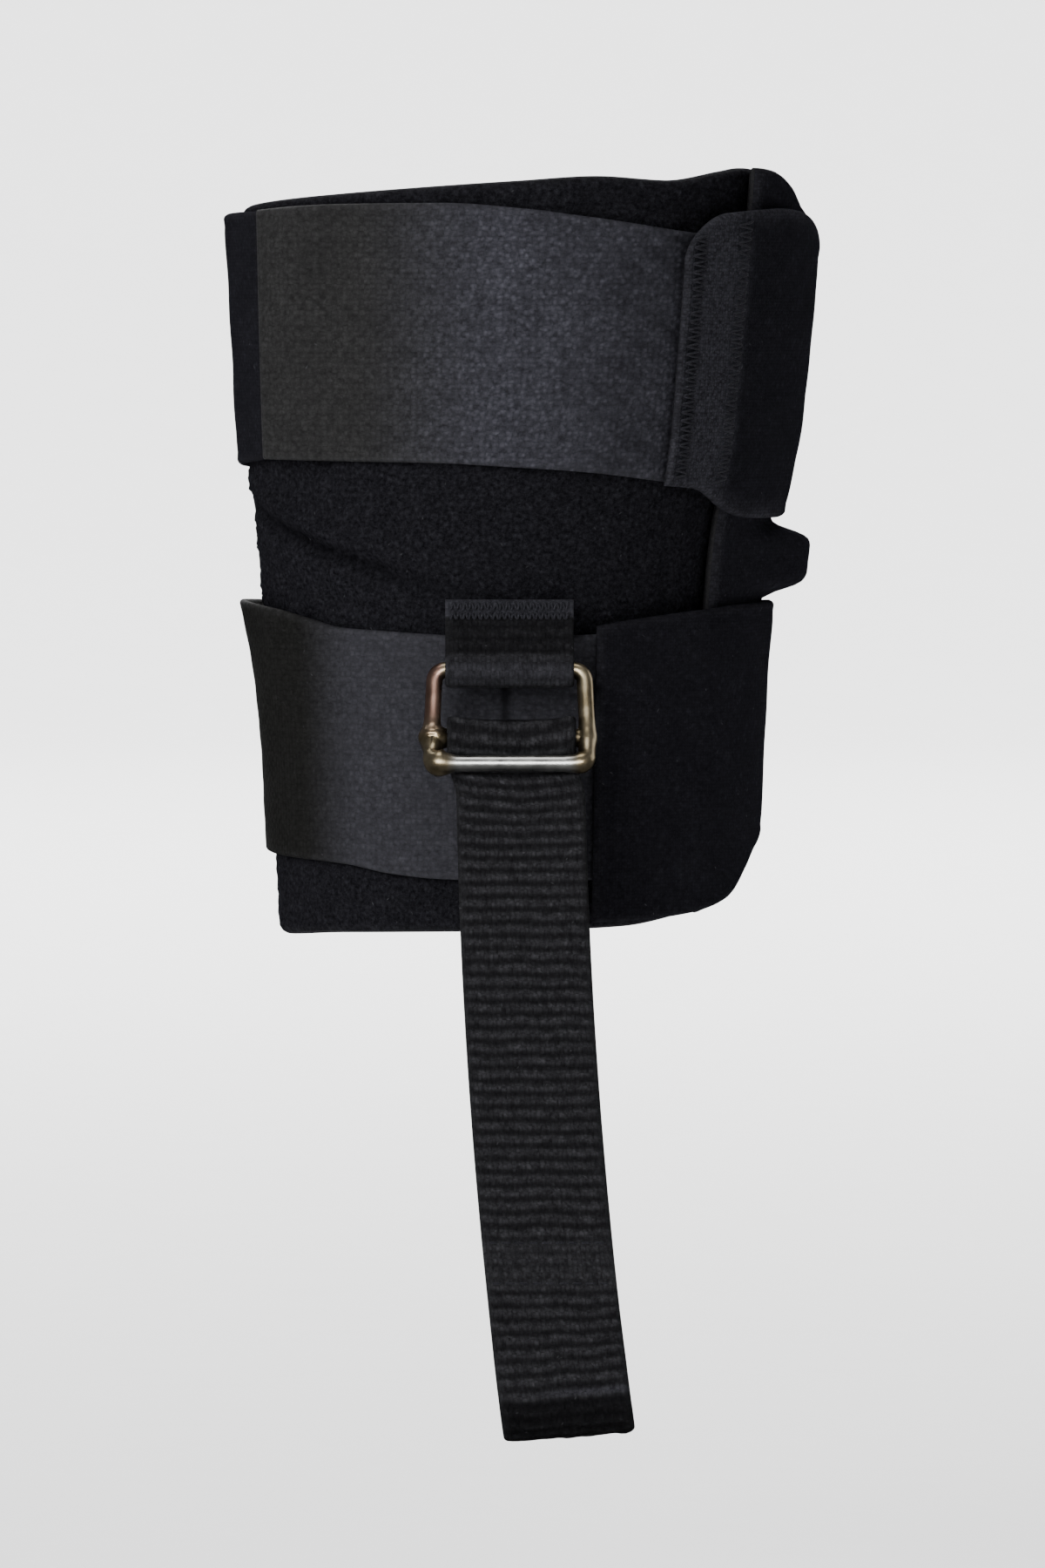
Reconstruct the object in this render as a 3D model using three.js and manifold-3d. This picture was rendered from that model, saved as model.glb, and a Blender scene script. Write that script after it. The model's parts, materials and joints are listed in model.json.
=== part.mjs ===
// Foot drop splint in its worn form: an ankle wrap closed by two elastic straps, and a webbing strap that
// runs from a wire slider on the front of the wrap down to a sewn end loop.
// Millimetres, +Z up the wrap's axis, -Y to the front, origin on the axis at half the wrap's height.
// Angles run round the axis in degrees: 0 at the front, positive towards +X, 180 at the back.

import * as THREE from "three";
import { mergeVertices } from "three/addons/utils/BufferGeometryUtils.js";
import Module from "manifold-3d";

// Driving dimensions
const GAP = 0.3; // air between pieces that lie on each other
const WRAP_THICK = 2.4;
const ELASTIC_THICK = 1.3;
const TAB_THICK = 1.6;
const WEBBING_WIDTH = 19.6;
const WEBBING_THICK = 1.2;
const WIRE_RADIUS = 1.25;

const WRAP_LIFT = WRAP_THICK + GAP; // the lapped end lies this far above the layer under it
const ON_WRAP = 0.4; // lift of a band that lies on the wrap
const ON_ELASTIC = ON_WRAP + ELASTIC_THICK + GAP;
const ON_TAB = ON_WRAP + TAB_THICK + GAP;
const ON_LAP = WRAP_LIFT + ON_WRAP;

// The wrap's section at each level, measured to the outer face of its under layer
const WRAP_LEVELS = [
  { z: -60, halfWidth: 35.2, front: 39.4, back: 44.0, shift: -1.45 },
  { z: -24, halfWidth: 36.7, front: 41.0, back: 45.5, shift: -1.45 },
  { z: -2, halfWidth: 38.3, front: 42.0, back: 46.5, shift: -1.5 },
  { z: 20, halfWidth: 41.1, front: 43.5, back: 48.0, shift: -0.25 },
  { z: 60, halfWidth: 43.7, front: 46.0, back: 51.0, shift: 1.0 },
];
const FRONT_SKEW = 0.1; // the front's crest lies a little to the +X side
const NEARBY = 1; // degrees to either side, for the outline's direction
const BACK_TAPER = 0.06; // the section narrows towards the back

// The wrap's cut edges, all the way round
const WRAP_EDGES = [
  { angle: -180, top: 50.6, bottom: -49.5 },
  { angle: -135, top: 51.6, bottom: -56.0 },
  { angle: -100, top: 53.2, bottom: -58.5 },
  { angle: -80, top: 53.8, bottom: -58.9 },
  { angle: -45, top: 55.2, bottom: -57.9 },
  { angle: 0, top: 57.3, bottom: -57.1 },
  { angle: 16, top: 58.0, bottom: -56.9 },
  { angle: 32, top: 57.4, bottom: -56.6 },
  { angle: 46, top: 58.8, bottom: -55.6 },
  { angle: 53, top: 59.4, bottom: -54.8 },
  { angle: 59, top: 59.0, bottom: -53.6 },
  { angle: 67, top: 56.9, bottom: -50.0 },
  { angle: 75, top: 53.8, bottom: -46.6 },
  { angle: 90, top: 52.0, bottom: -45.2 },
  { angle: 135, top: 50.8, bottom: -46.5 },
  { angle: 180, top: 50.6, bottom: -49.5 },
];
const WRAP_START = 105; // the under end, inside the lap on the +X side
const WRAP_END = -307.5; // the lapped end, one turn further: +52.5 degrees
const WRAP_STEPS = 55;
const LAP_RISE = { from: -234, to: -254 }; // where the wrap climbs over its own start
const WRAP_ROWS = [
  0, 0.12, 0.24, 0.33, 0.375, 0.395, 0.415, 0.44, 0.47, 0.5,
  0.515, 0.53, 0.56, 0.59, 0.62, 0.65, 0.69, 0.77, 0.88, 1,
];

// Folds of the wrap: a line from one place to another, with its height and half width
const WRAP_FOLDS = [
  { fromAngle: -92, fromZ: 11, toAngle: -18, toZ: -4, height: 1.3, halfWidth: 3.2 },
  { fromAngle: -60, fromZ: -3, toAngle: -30, toZ: -5, height: -0.7, halfWidth: 2.4 },
];
// The lapped layer buckles outwards between the two straps
const LAP_BUCKLE = { angle: 88, z: -1.0, height: 6.9, halfAngle: 16, halfHeight: 4.9 };

// Bands round the wrap: top and bottom edge, lift of the inner face, and how far the top edge stands off
const UPPER_STRAP = [
  { angle: -60, top: 53.0, bottom: 14.7, lift: ON_TAB, flare: 0 },
  { angle: -48, top: 53.5, bottom: 14.6, lift: ON_TAB, flare: 0 },
  { angle: -39, top: 53.8, bottom: 14.5, lift: ON_WRAP, flare: 0 },
  { angle: -15, top: 53.9, bottom: 14.3, lift: ON_WRAP, flare: 0 },
  { angle: 3, top: 52.9, bottom: 13.6, lift: ON_WRAP, flare: 0 },
  { angle: 10, top: 52.2, bottom: 13.3, lift: ON_WRAP, flare: 0 },
  { angle: 20, top: 51.2, bottom: 12.7, lift: ON_WRAP, flare: 0 },
  { angle: 32, top: 49.9, bottom: 11.7, lift: ON_WRAP, flare: 0 },
  { angle: 46, top: 48.7, bottom: 10.6, lift: ON_WRAP, flare: 0 },
];
const UPPER_STRAP_TAB = [
  { angle: 34, top: 51.4, bottom: 10.8, lift: ON_ELASTIC, flare: 0.5 },
  { angle: 42, top: 52.3, bottom: 10.3, lift: ON_ELASTIC, flare: 0.5 },
  { angle: 50, top: 52.9, bottom: 7.0, lift: ON_LAP, flare: 0.4 },
  { angle: 58, top: 53.2, bottom: 5.8, lift: ON_LAP, flare: 0.4 },
  { angle: 68, top: 52.6, bottom: 5.6, lift: ON_LAP, flare: 0.3 },
  { angle: 76, top: 50.9, bottom: 5.6, lift: ON_LAP, flare: 0.2 },
  { angle: 84, top: 48.3, bottom: 5.7, lift: ON_LAP, flare: 0.1 },
  { angle: 92, top: 46.4, bottom: 5.8, lift: ON_LAP, flare: 0 },
  { angle: 107, top: 45.0, bottom: 6.4, lift: ON_LAP, flare: 0 },
  { angle: 128, top: 44.4, bottom: 7.6, lift: ON_WRAP, flare: 0 },
  { angle: 142, top: 44.0, bottom: 8.0, lift: ON_WRAP, flare: 0 },
];
const UPPER_HOOK_TAB = [
  { angle: -51, top: 52.8, bottom: 15.4, lift: ON_WRAP, flare: 0 },
  { angle: -68, top: 52.8, bottom: 14.4, lift: ON_WRAP, flare: 0.2 },
  { angle: -90, top: 52.4, bottom: 13.6, lift: 0.8, flare: 0.8 },
  { angle: -112, top: 50.6, bottom: 12.8, lift: 0.6, flare: 0.4 },
  { angle: -136, top: 48.8, bottom: 11.8, lift: ON_WRAP, flare: 0 },
];
const LOWER_STRAP = [
  { angle: -128, top: -9.4, bottom: -46.4, lift: ON_TAB, flare: 0 },
  { angle: -113, top: -8.0, bottom: -46.2, lift: ON_TAB, flare: 0.3 },
  { angle: -103, top: -7.4, bottom: -46.2, lift: ON_WRAP, flare: 1.4 },
  { angle: -90, top: -7.2, bottom: -46.2, lift: ON_WRAP, flare: 2.1 },
  { angle: -64, top: -8.2, bottom: -46.6, lift: ON_WRAP, flare: 0.7 },
  { angle: -50, top: -9.6, bottom: -46.9, lift: ON_WRAP, flare: 0.2 },
  { angle: -40, top: -10.9, bottom: -47.3, lift: ON_WRAP, flare: 0 },
  { angle: -28, top: -11.3, bottom: -48.5, lift: ON_WRAP, flare: 0 },
  { angle: -14, top: -11.8, bottom: -49.2, lift: ON_WRAP, flare: 0 },
  { angle: 0, top: -12.0, bottom: -49.3, lift: ON_WRAP, flare: 0 },
  { angle: 28, top: -11.6, bottom: -49.3, lift: ON_WRAP, flare: 0 },
];
const LOWER_STRAP_TAB = [
  { angle: 20.8, top: -10.4, bottom: -55.7, lift: ON_ELASTIC, flare: 0 },
  { angle: 30, top: -9.4, bottom: -55.6, lift: ON_ELASTIC, flare: 0 },
  { angle: 42, top: -8.5, bottom: -55.1, lift: ON_ELASTIC, flare: 0 },
  { angle: 50, top: -8.0, bottom: -54.3, lift: ON_LAP, flare: 0 },
  { angle: 58, top: -7.6, bottom: -53.1, lift: ON_LAP, flare: 0 },
  { angle: 63, top: -7.5, bottom: -51.6, lift: ON_LAP, flare: 0 },
  { angle: 68, top: -7.4, bottom: -49.0, lift: ON_LAP, flare: 0 },
  { angle: 75, top: -7.3, bottom: -45.8, lift: ON_LAP, flare: 0 },
  { angle: 90, top: -7.3, bottom: -43.8, lift: ON_LAP, flare: 0 },
  { angle: 107, top: -7.8, bottom: -43.8, lift: ON_LAP, flare: 0 },
  { angle: 128, top: -8.6, bottom: -44.4, lift: ON_WRAP, flare: 0 },
  { angle: 142, top: -9.2, bottom: -45.0, lift: ON_WRAP, flare: 0 },
];
const LOWER_HOOK_TAB = [
  { angle: -116, top: -10.4, bottom: -46.0, lift: ON_WRAP, flare: 0 },
  { angle: -140, top: -11.2, bottom: -46.4, lift: ON_WRAP, flare: 0 },
  { angle: -170, top: -12.4, bottom: -46.6, lift: ON_WRAP, flare: 0 },
];
const BAND_STEP = 7; // degrees between a band's sections
const BAND_ROWS = 4;
const FLARE_POWER = 3; // keeps the flare near the top edge
const TAB_CORNER = 7; // radius of a tab's round corners
const CORNER_STEPS = 4;

// The top bar of the slider, in front of the wrap. What hangs there is drawn from it: f forward (-Y), z up
const TOP_BAR_AT = { x: -0.5, forward: 46.35, z: -17 };
const TOP_BAR = new THREE.Vector2(0, 0);
const SLIDER_HALF_WIDTH = 11.6; // to the middle of the side wires
const UPPER_SLOT = { length: 10.8, tilt: 18 }; // from bar to bar, and degrees forward of straight down
const LOWER_SLOT = { length: 5.6, tilt: 48 };
const SLIDER_CORNER = 2.2;
const SLIDER_KINK = { above: 2.2, below: 1.3 }; // length of the bend on either side of the middle bar
const WIRE_SIDES = 10;
const SAME_POINT = 1e-3; // nearer than this, two points are one
const BEND_POINTS = 5; // sections on each bend of the wire

// The foot strap's run
const STRAP_TILT = 23; // degrees forward of straight down
const STRAP_RUN = 98.5; // from the lower bar to the middle of the end loop
const STRAP_TAIL = 32;
const STRAP_X = 0.3; // the webbing sits a little to one side in the slider
const STRAP_SHIFT = { by: 1.3, from: 2.8, to: 9 }; // towards +X, at these depths below the middle bar
const STRAP_SWEEP = { lean: 0.008, curve: 0.00062 }; // and further, the lower it hangs
const STRAP_STEPS = 8;
const END_LOOP_RADIUS = 5.1; // to the middle of the webbing
const END_LOOP_LENGTH = 15; // from the loop's middle up to its seam
const SEAM_LENGTH = 8;
const ARC_STEP = 15; // degrees between sections on a bend

// The webbing tab that carries the slider
const TAB_TOP = 10.6; // above the top bar
const TAB_SEWN = 2.6; // height of the sewn part
const TAB_BEND = 6.4; // where the back layer clears the lower strap
const TAB_LEAN = 0.2; // the front layer leans back this far above the fold
const TAB_FRONT_DROP = 1; // the front layer bends this far lower than the back one
const TAB_SEWN_OFF = 1.0; // middle of the back layer above the wrap, where it is sewn on
const LAYER_SPACING = WEBBING_THICK + GAP;

const COLOURS = {
  pile: 0x17171a,
  elastic: 0x34363b,
  smooth: 0x101013,
  webbing: 0x222226,
  metal: 0xb0a48c,
};

const wasm = await Module();
wasm.setup();

const rad = THREE.MathUtils.degToRad;

// A smooth function through one column of a table
function column(rows, at, name) {
  const sorted = [...rows].sort((a, b) => a[at] - b[at]);
  const positions = sorted.map((row) => row[at]);
  const curve = new THREE.CubicInterpolant(positions, sorted.map((row) => row[name]), 1);
  const last = positions.length - 1;
  return (x) => curve.evaluate(THREE.MathUtils.clamp(x, positions[0], positions[last]))[0];
}

const section = {
  halfWidth: column(WRAP_LEVELS, "z", "halfWidth"),
  front: column(WRAP_LEVELS, "z", "front"),
  back: column(WRAP_LEVELS, "z", "back"),
  shift: column(WRAP_LEVELS, "z", "shift"),
};

function outline(angle, z) {
  const sin = Math.sin(rad(angle));
  const cos = Math.cos(rad(angle));
  const width = section.halfWidth(z);
  const taper = 1 - BACK_TAPER * ((1 - cos) / 2) ** 2;
  const skew = cos > 0 ? FRONT_SKEW * width * sin * cos * cos : 0;
  const depth = cos > 0 ? section.front(z) : section.back(z);
  return new THREE.Vector2(section.shift(z) + width * sin * taper, -depth * cos - skew);
}

// A point at an angle and a height, standing off the outer face of the wrap's under layer
function wrapPoint(angle, z, off) {
  const here = outline(angle, z);
  const along = outline(angle + NEARBY, z).sub(outline(angle - NEARBY, z)).normalize();
  return new THREE.Vector3(here.x + off * along.y, here.y - off * along.x, z);
}

// A closed mesh through rings of points, each ring an open strip folded back on itself: half its points go
// up one face and half come down the other. A closed loft joins its last ring to its first.
function loft(rings, closed = false) {
  const size = rings[0].length;
  const positions = rings.flat().flatMap((p) => [p.x, p.y, p.z]);
  const index = [];
  const spans = closed ? rings.length : rings.length - 1;
  for (let i = 0; i < spans; i++) {
    const a = i * size;
    const b = ((i + 1) % rings.length) * size;
    for (let j = 0; j < size; j++) {
      const k = (j + 1) % size;
      index.push(a + j, b + j, b + k, a + j, b + k, a + k);
    }
  }
  if (!closed) {
    const end = (rings.length - 1) * size;
    for (let j = 0; j < size / 2 - 1; j++) {
      const low = j;
      const high = size - 1 - j;
      index.push(low, low + 1, high - 1, low, high - 1, high);
      index.push(end + low, end + high - 1, end + low + 1, end + low, end + high, end + high - 1);
    }
  }
  const geometry = new THREE.BufferGeometry();
  geometry.setAttribute("position", new THREE.Float32BufferAttribute(positions, 3));
  geometry.setIndex(index);
  return solidGeometry(outward(solid(geometry), geometry));
}

function solid(geometry) {
  const bare = geometry.clone();
  bare.deleteAttribute("normal");
  bare.deleteAttribute("uv");
  const merged = mergeVertices(bare);
  return new wasm.Manifold(
    new wasm.Mesh({
      numProp: 3,
      vertProperties: merged.attributes.position.array,
      triVerts: new Uint32Array(merged.index.array),
    }),
  );
}

// The same solid with its faces pointing out
function outward(made, geometry) {
  if (made.volume() > 0) return made;
  const index = geometry.index.array;
  for (let i = 0; i < index.length; i += 3) [index[i + 1], index[i + 2]] = [index[i + 2], index[i + 1]];
  return solid(geometry);
}

function solidGeometry(made) {
  const mesh = made.getMesh();
  const geometry = new THREE.BufferGeometry();
  geometry.setAttribute("position", new THREE.BufferAttribute(mesh.vertProperties, mesh.numProp));
  geometry.setIndex(new THREE.BufferAttribute(mesh.triVerts, 1));
  geometry.computeVertexNormals();
  return geometry;
}

// One section of a band: up its inner face and down its outer face
function bandRing(angle, top, bottom, rows, innerOff, thick) {
  const heights = rows.map((share) => bottom + share * (top - bottom));
  const inner = heights.map((z, i) => wrapPoint(angle, z, innerOff(z, rows[i])));
  const outer = heights.map((z, i) => wrapPoint(angle, z, innerOff(z, rows[i]) + thick));
  return [...inner, ...outer.reverse()];
}

function foldHeight(angle, z) {
  let height = 0;
  for (const fold of WRAP_FOLDS) {
    const share = (angle - fold.fromAngle) / (fold.toAngle - fold.fromAngle);
    const along = THREE.MathUtils.clamp(share, 0, 1);
    const away = z - THREE.MathUtils.lerp(fold.fromZ, fold.toZ, along);
    const fade = Math.sin(Math.PI * along) ** 0.5;
    height += fold.height * fade * Math.exp(-((away / fold.halfWidth) ** 2));
  }
  return height;
}

function buckleHeight(angle, z) {
  const across = ((angle - LAP_BUCKLE.angle) / LAP_BUCKLE.halfAngle) ** 2;
  const up = ((z - LAP_BUCKLE.z) / LAP_BUCKLE.halfHeight) ** 6;
  return LAP_BUCKLE.height * Math.exp(-across - up);
}

// The wrap: one sheet, once round and over its own start
function ankleWrap() {
  const top = column(WRAP_EDGES, "angle", "top");
  const bottom = column(WRAP_EDGES, "angle", "bottom");
  const rings = [];
  for (let i = 0; i <= WRAP_STEPS; i++) {
    const turn = THREE.MathUtils.lerp(WRAP_START, WRAP_END, i / WRAP_STEPS);
    const angle = THREE.MathUtils.euclideanModulo(turn + 180, 360) - 180;
    const rise = THREE.MathUtils.smoothstep(-turn, -LAP_RISE.from, -LAP_RISE.to);
    const lapped = turn < LAP_RISE.to;
    const innerOff = (z) => {
      const shape = lapped ? buckleHeight(angle, z) : foldHeight(angle, z);
      return rise * WRAP_LIFT - WRAP_THICK + shape;
    };
    rings.push(bandRing(angle, top(angle), bottom(angle), WRAP_ROWS, innerOff, WRAP_THICK));
  }
  return loft(rings);
}

// Section angles of a band: even steps, closer together on round corners
function bandAngles(from, to, corners) {
  const radius = section.halfWidth(0);
  const corner = THREE.MathUtils.radToDeg(TAB_CORNER / radius);
  const sign = Math.sign(to - from);
  const near = [];
  for (let i = 0; i < CORNER_STEPS; i++) near.push(corner * (1 - Math.cos(rad((90 * i) / CORNER_STEPS))));
  const start = corners.start ? near.map((x) => from + sign * x) : [from];
  const finish = corners.end ? near.map((x) => to - sign * x).reverse() : [to];
  const first = corners.start ? from + sign * corner : from;
  const last = corners.end ? to - sign * corner : to;
  const steps = Math.ceil(Math.abs(last - first) / BAND_STEP);
  const middle = [];
  for (let i = corners.start ? 0 : 1; i < steps + (corners.end ? 1 : 0); i++) {
    middle.push(first + ((last - first) * i) / steps);
  }
  return [...start, ...middle, ...finish];
}

// How far a round corner draws the edge in, a number of degrees from a band's end
function cornerInset(degrees) {
  const away = rad(degrees) * section.halfWidth(0);
  if (away >= TAB_CORNER) return 0;
  return TAB_CORNER - Math.sqrt(TAB_CORNER ** 2 - (TAB_CORNER - away) ** 2);
}

// A strap or tab that lies round the wrap, from the first row of its table to the last
function band(table, thick, corners = {}) {
  const from = table[0].angle;
  const to = table[table.length - 1].angle;
  const top = column(table, "angle", "top");
  const bottom = column(table, "angle", "bottom");
  const lift = column(table, "angle", "lift");
  const flare = column(table, "angle", "flare");
  const rows = Array.from({ length: BAND_ROWS + 1 }, (_, i) => i / BAND_ROWS);
  const rings = bandAngles(from, to, corners).map((angle) => {
    const atStart = corners.start ? cornerInset(Math.abs(angle - from)) : 0;
    const atEnd = corners.end ? cornerInset(Math.abs(to - angle)) : 0;
    const inset = atStart + atEnd;
    const lowInset = corners.squareLow ? atEnd : inset;
    const innerOff = (z, share) => Math.max(lift(angle), ON_WRAP) + flare(angle) * share ** FLARE_POWER;
    return bandRing(angle, top(angle) - inset, bottom(angle) + lowInset, rows, innerOff, thick);
  });
  return loft(rings);
}

// Webbing along a path in the plane of f and z, flat across X
function ribbon(path, middleX) {
  const half = WEBBING_WIDTH / 2;
  const rings = path.map((here, i) => {
    const before = path[Math.max(i - 1, 0)];
    const after = path[Math.min(i + 1, path.length - 1)];
    const along = after.clone().sub(before).normalize();
    const normal = new THREE.Vector2(along.y, -along.x).multiplyScalar(WEBBING_THICK / 2);
    const x = middleX(here.y);
    const corner = (side, face) =>
      new THREE.Vector3(x + side * half, -(here.x + face * normal.x), here.y + face * normal.y);
    return [corner(-1, -1), corner(1, -1), corner(1, 1), corner(-1, 1)];
  });
  return loft(rings);
}

const polar = (centre, radius, degrees) =>
  new THREE.Vector2(centre.x + radius * Math.cos(rad(degrees)), centre.y + radius * Math.sin(rad(degrees)));

// Points of an arc in the plane of f and z, both ends included
function arc(centre, radius, from, to) {
  const steps = Math.max(1, Math.ceil(Math.abs(to - from) / ARC_STEP));
  return Array.from({ length: steps + 1 }, (_, i) => polar(centre, radius, from + ((to - from) * i) / steps));
}

const MIDDLE_BAR = polar(TOP_BAR, UPPER_SLOT.length, UPPER_SLOT.tilt - 90);
const LOWER_BAR = polar(MIDDLE_BAR, LOWER_SLOT.length, LOWER_SLOT.tilt - 90);

// The slider: one bent wire ring, with its middle bar soldered in
function wireSlider() {
  const side = (sign) => {
    const edge = sign * SLIDER_HALF_WIDTH;
    const inner = sign * (SLIDER_HALF_WIDTH - SLIDER_CORNER);
    const down = MIDDLE_BAR.clone().sub(TOP_BAR).normalize();
    const out = LOWER_BAR.clone().sub(MIDDLE_BAR).normalize();
    const at = (x, p) => new THREE.Vector3(x, -p.x, p.y);
    const upper = TOP_BAR.clone().addScaledVector(down, SLIDER_CORNER);
    const lower = LOWER_BAR.clone().addScaledVector(out, -SLIDER_CORNER);
    const kinkIn = MIDDLE_BAR.clone().addScaledVector(down, -SLIDER_KINK.above);
    const kinkOut = MIDDLE_BAR.clone().addScaledVector(out, SLIDER_KINK.below);
    return [
      new THREE.QuadraticBezierCurve3(at(inner, TOP_BAR), at(edge, TOP_BAR), at(edge, upper)),
      new THREE.LineCurve3(at(edge, upper), at(edge, kinkIn)),
      new THREE.QuadraticBezierCurve3(at(edge, kinkIn), at(edge, MIDDLE_BAR), at(edge, kinkOut)),
      new THREE.QuadraticBezierCurve3(at(edge, lower), at(edge, LOWER_BAR), at(inner, LOWER_BAR)),
    ];
  };
  const points = (curves) => curves.flatMap((curve) => curve.getPoints(BEND_POINTS));
  const path = [...points(side(1)), ...points(side(-1)).reverse()];
  const ring = solid(wire(path, true));
  const reach = SLIDER_HALF_WIDTH;
  const ends = [-reach, reach].map((x) => new THREE.Vector3(x, -MIDDLE_BAR.x, MIDDLE_BAR.y));
  return solidGeometry(ring.add(solid(wire(ends, false))));
}

// Round wire through points, without repeated ones
function wire(points, closed) {
  const line = points.filter((p, i) => i === 0 || p.distanceTo(points[i - 1]) > SAME_POINT);
  const count = line.length;
  const rings = line.map((here, i) => {
    const before = closed ? line[(i - 1 + count) % count] : line[Math.max(i - 1, 0)];
    const after = closed ? line[(i + 1) % count] : line[Math.min(i + 1, count - 1)];
    const along = after.clone().sub(before).normalize();
    const front = new THREE.Vector3(0, -Math.cos(rad(UPPER_SLOT.tilt)), -Math.sin(rad(UPPER_SLOT.tilt)));
    const across = new THREE.Vector3().crossVectors(along, front).normalize();
    const face = new THREE.Vector3().crossVectors(across, along).normalize();
    return Array.from({ length: WIRE_SIDES }, (_, k) => {
      const turn = rad((360 * (k + 0.5)) / WIRE_SIDES);
      return here
        .clone()
        .addScaledVector(across, WIRE_RADIUS * Math.cos(turn))
        .addScaledVector(face, WIRE_RADIUS * Math.sin(turn));
    });
  });
  return loft(rings, closed);
}

// The webbing tab: sewn to the wrap by both ends, with the slider's top bar in its fold
function sliderTab() {
  const fold = WIRE_RADIUS + GAP + WEBBING_THICK / 2;
  const sewn = section.front(TOP_BAR_AT.z + TAB_TOP) + TAB_SEWN_OFF - TOP_BAR_AT.forward;
  const back = [new THREE.Vector2(sewn, TAB_TOP), new THREE.Vector2(sewn, TAB_TOP - TAB_SEWN)];
  const bend = new THREE.Vector2(TOP_BAR.x - fold, TAB_BEND);
  const round = arc(TOP_BAR, fold, -180, 0);
  const rise = new THREE.Vector2(TOP_BAR.x + fold - TAB_LEAN, TAB_BEND - TAB_FRONT_DROP);
  const front = back.map((p) => new THREE.Vector2(p.x + LAYER_SPACING, p.y)).reverse();
  return ribbon([...back, bend, ...round, rise, ...front], () => 0);
}

// The foot strap: tail, bend over the slider's middle bar, run down, and the sewn loop at its end
function footStrap() {
  const bend = WIRE_RADIUS + GAP + WEBBING_THICK / 2;
  const down = polar(new THREE.Vector2(), 1, STRAP_TILT - 90);
  const backward = polar(new THREE.Vector2(), 1, STRAP_TILT + 180);
  const crossing = THREE.MathUtils.radToDeg(Math.asin((2 * bend) / LOWER_SLOT.length));
  const between = LOWER_SLOT.tilt + 90 - crossing; // heading from the lower bar to the middle one
  const overMiddle = arc(MIDDLE_BAR, bend, STRAP_TILT + 180, between - 90);
  const behindLower = arc(LOWER_BAR, bend, between + 90, STRAP_TILT + 180);
  const tailEnd = overMiddle[0].clone().addScaledVector(down, STRAP_TAIL);
  const runStart = behindLower[behindLower.length - 1];

  const loopAt = runStart.clone().addScaledVector(down, STRAP_RUN);
  const centre = loopAt.clone().addScaledVector(backward, END_LOOP_RADIUS);
  const seam = loopAt.clone().addScaledVector(down, -END_LOOP_LENGTH);
  seam.addScaledVector(backward, LAYER_SPACING);
  const reach = seam.clone().sub(centre);
  const heading = THREE.MathUtils.radToDeg(Math.atan2(reach.y, reach.x));
  const leave = heading + THREE.MathUtils.radToDeg(Math.acos(END_LOOP_RADIUS / reach.length()));
  const round = arc(centre, END_LOOP_RADIUS, STRAP_TILT, leave - 360);
  const seamEnd = seam.clone().addScaledVector(down, -SEAM_LENGTH);
  const run = [];
  for (let i = 1; i < STRAP_STEPS; i++) run.push(runStart.clone().lerp(loopAt, i / STRAP_STEPS));
  return ribbon([tailEnd, ...overMiddle, ...behindLower, ...run, ...round, seam, seamEnd], strapMiddle);
}

// How far towards +X the strap's middle lies at a height
function strapMiddle(z) {
  const below = Math.max(0, MIDDLE_BAR.y - z);
  const shift = STRAP_SHIFT.by * THREE.MathUtils.smoothstep(below, STRAP_SHIFT.from, STRAP_SHIFT.to);
  return STRAP_X + shift + STRAP_SWEEP.lean * below + STRAP_SWEEP.curve * below ** 2;
}

function piece(name, geometry, colour, roughness, metalness = 0) {
  const material = new THREE.MeshStandardMaterial({ color: colour, roughness, metalness });
  const mesh = new THREE.Mesh(geometry, material);
  mesh.name = name;
  return mesh;
}

const splint = new THREE.Group();
splint.name = "foot_drop_splint";

const bothEnds = { start: true, end: true, squareLow: true }; // square at the start's lower corner
const farEnd = { end: true };

const closure = new THREE.Group();
closure.add(
  piece("ankle_wrap", ankleWrap(), COLOURS.pile, 0.95),
  piece("upper_strap", band(UPPER_STRAP, ELASTIC_THICK), COLOURS.elastic, 0.8),
  piece("upper_strap_tab", band(UPPER_STRAP_TAB, TAB_THICK, bothEnds), COLOURS.smooth, 0.85),
  piece("upper_hook_tab", band(UPPER_HOOK_TAB, TAB_THICK, farEnd), COLOURS.smooth, 0.85),
  piece("lower_strap", band(LOWER_STRAP, ELASTIC_THICK), COLOURS.elastic, 0.8),
  piece("lower_strap_tab", band(LOWER_STRAP_TAB, TAB_THICK, farEnd), COLOURS.smooth, 0.85),
  piece("lower_hook_tab", band(LOWER_HOOK_TAB, TAB_THICK, farEnd), COLOURS.smooth, 0.85),
);

const lifter = new THREE.Group();
lifter.position.set(TOP_BAR_AT.x, -TOP_BAR_AT.forward, TOP_BAR_AT.z);
lifter.add(
  piece("slider_tab", sliderTab(), COLOURS.webbing, 0.8),
  piece("strap_slider", wireSlider(), COLOURS.metal, 0.3, 1),
  piece("foot_strap", footStrap(), COLOURS.webbing, 0.8),
);

splint.add(closure, lifter);

export default splint;
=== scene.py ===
# %% [markdown]
# # A foot drop splint in its worn shape
# A foot drop splint is a soft thing. A loop-faced wrap goes once round and over its own start, two
# wide elastic straps close it, and a ribbed webbing strap hangs from a wire slider on the front and
# ends in a sewn loop. Only the slider is stiff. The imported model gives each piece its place, and
# this lesson gives each one its shape, stitching and finish.

# %% Load the frame
import json
import math

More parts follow.
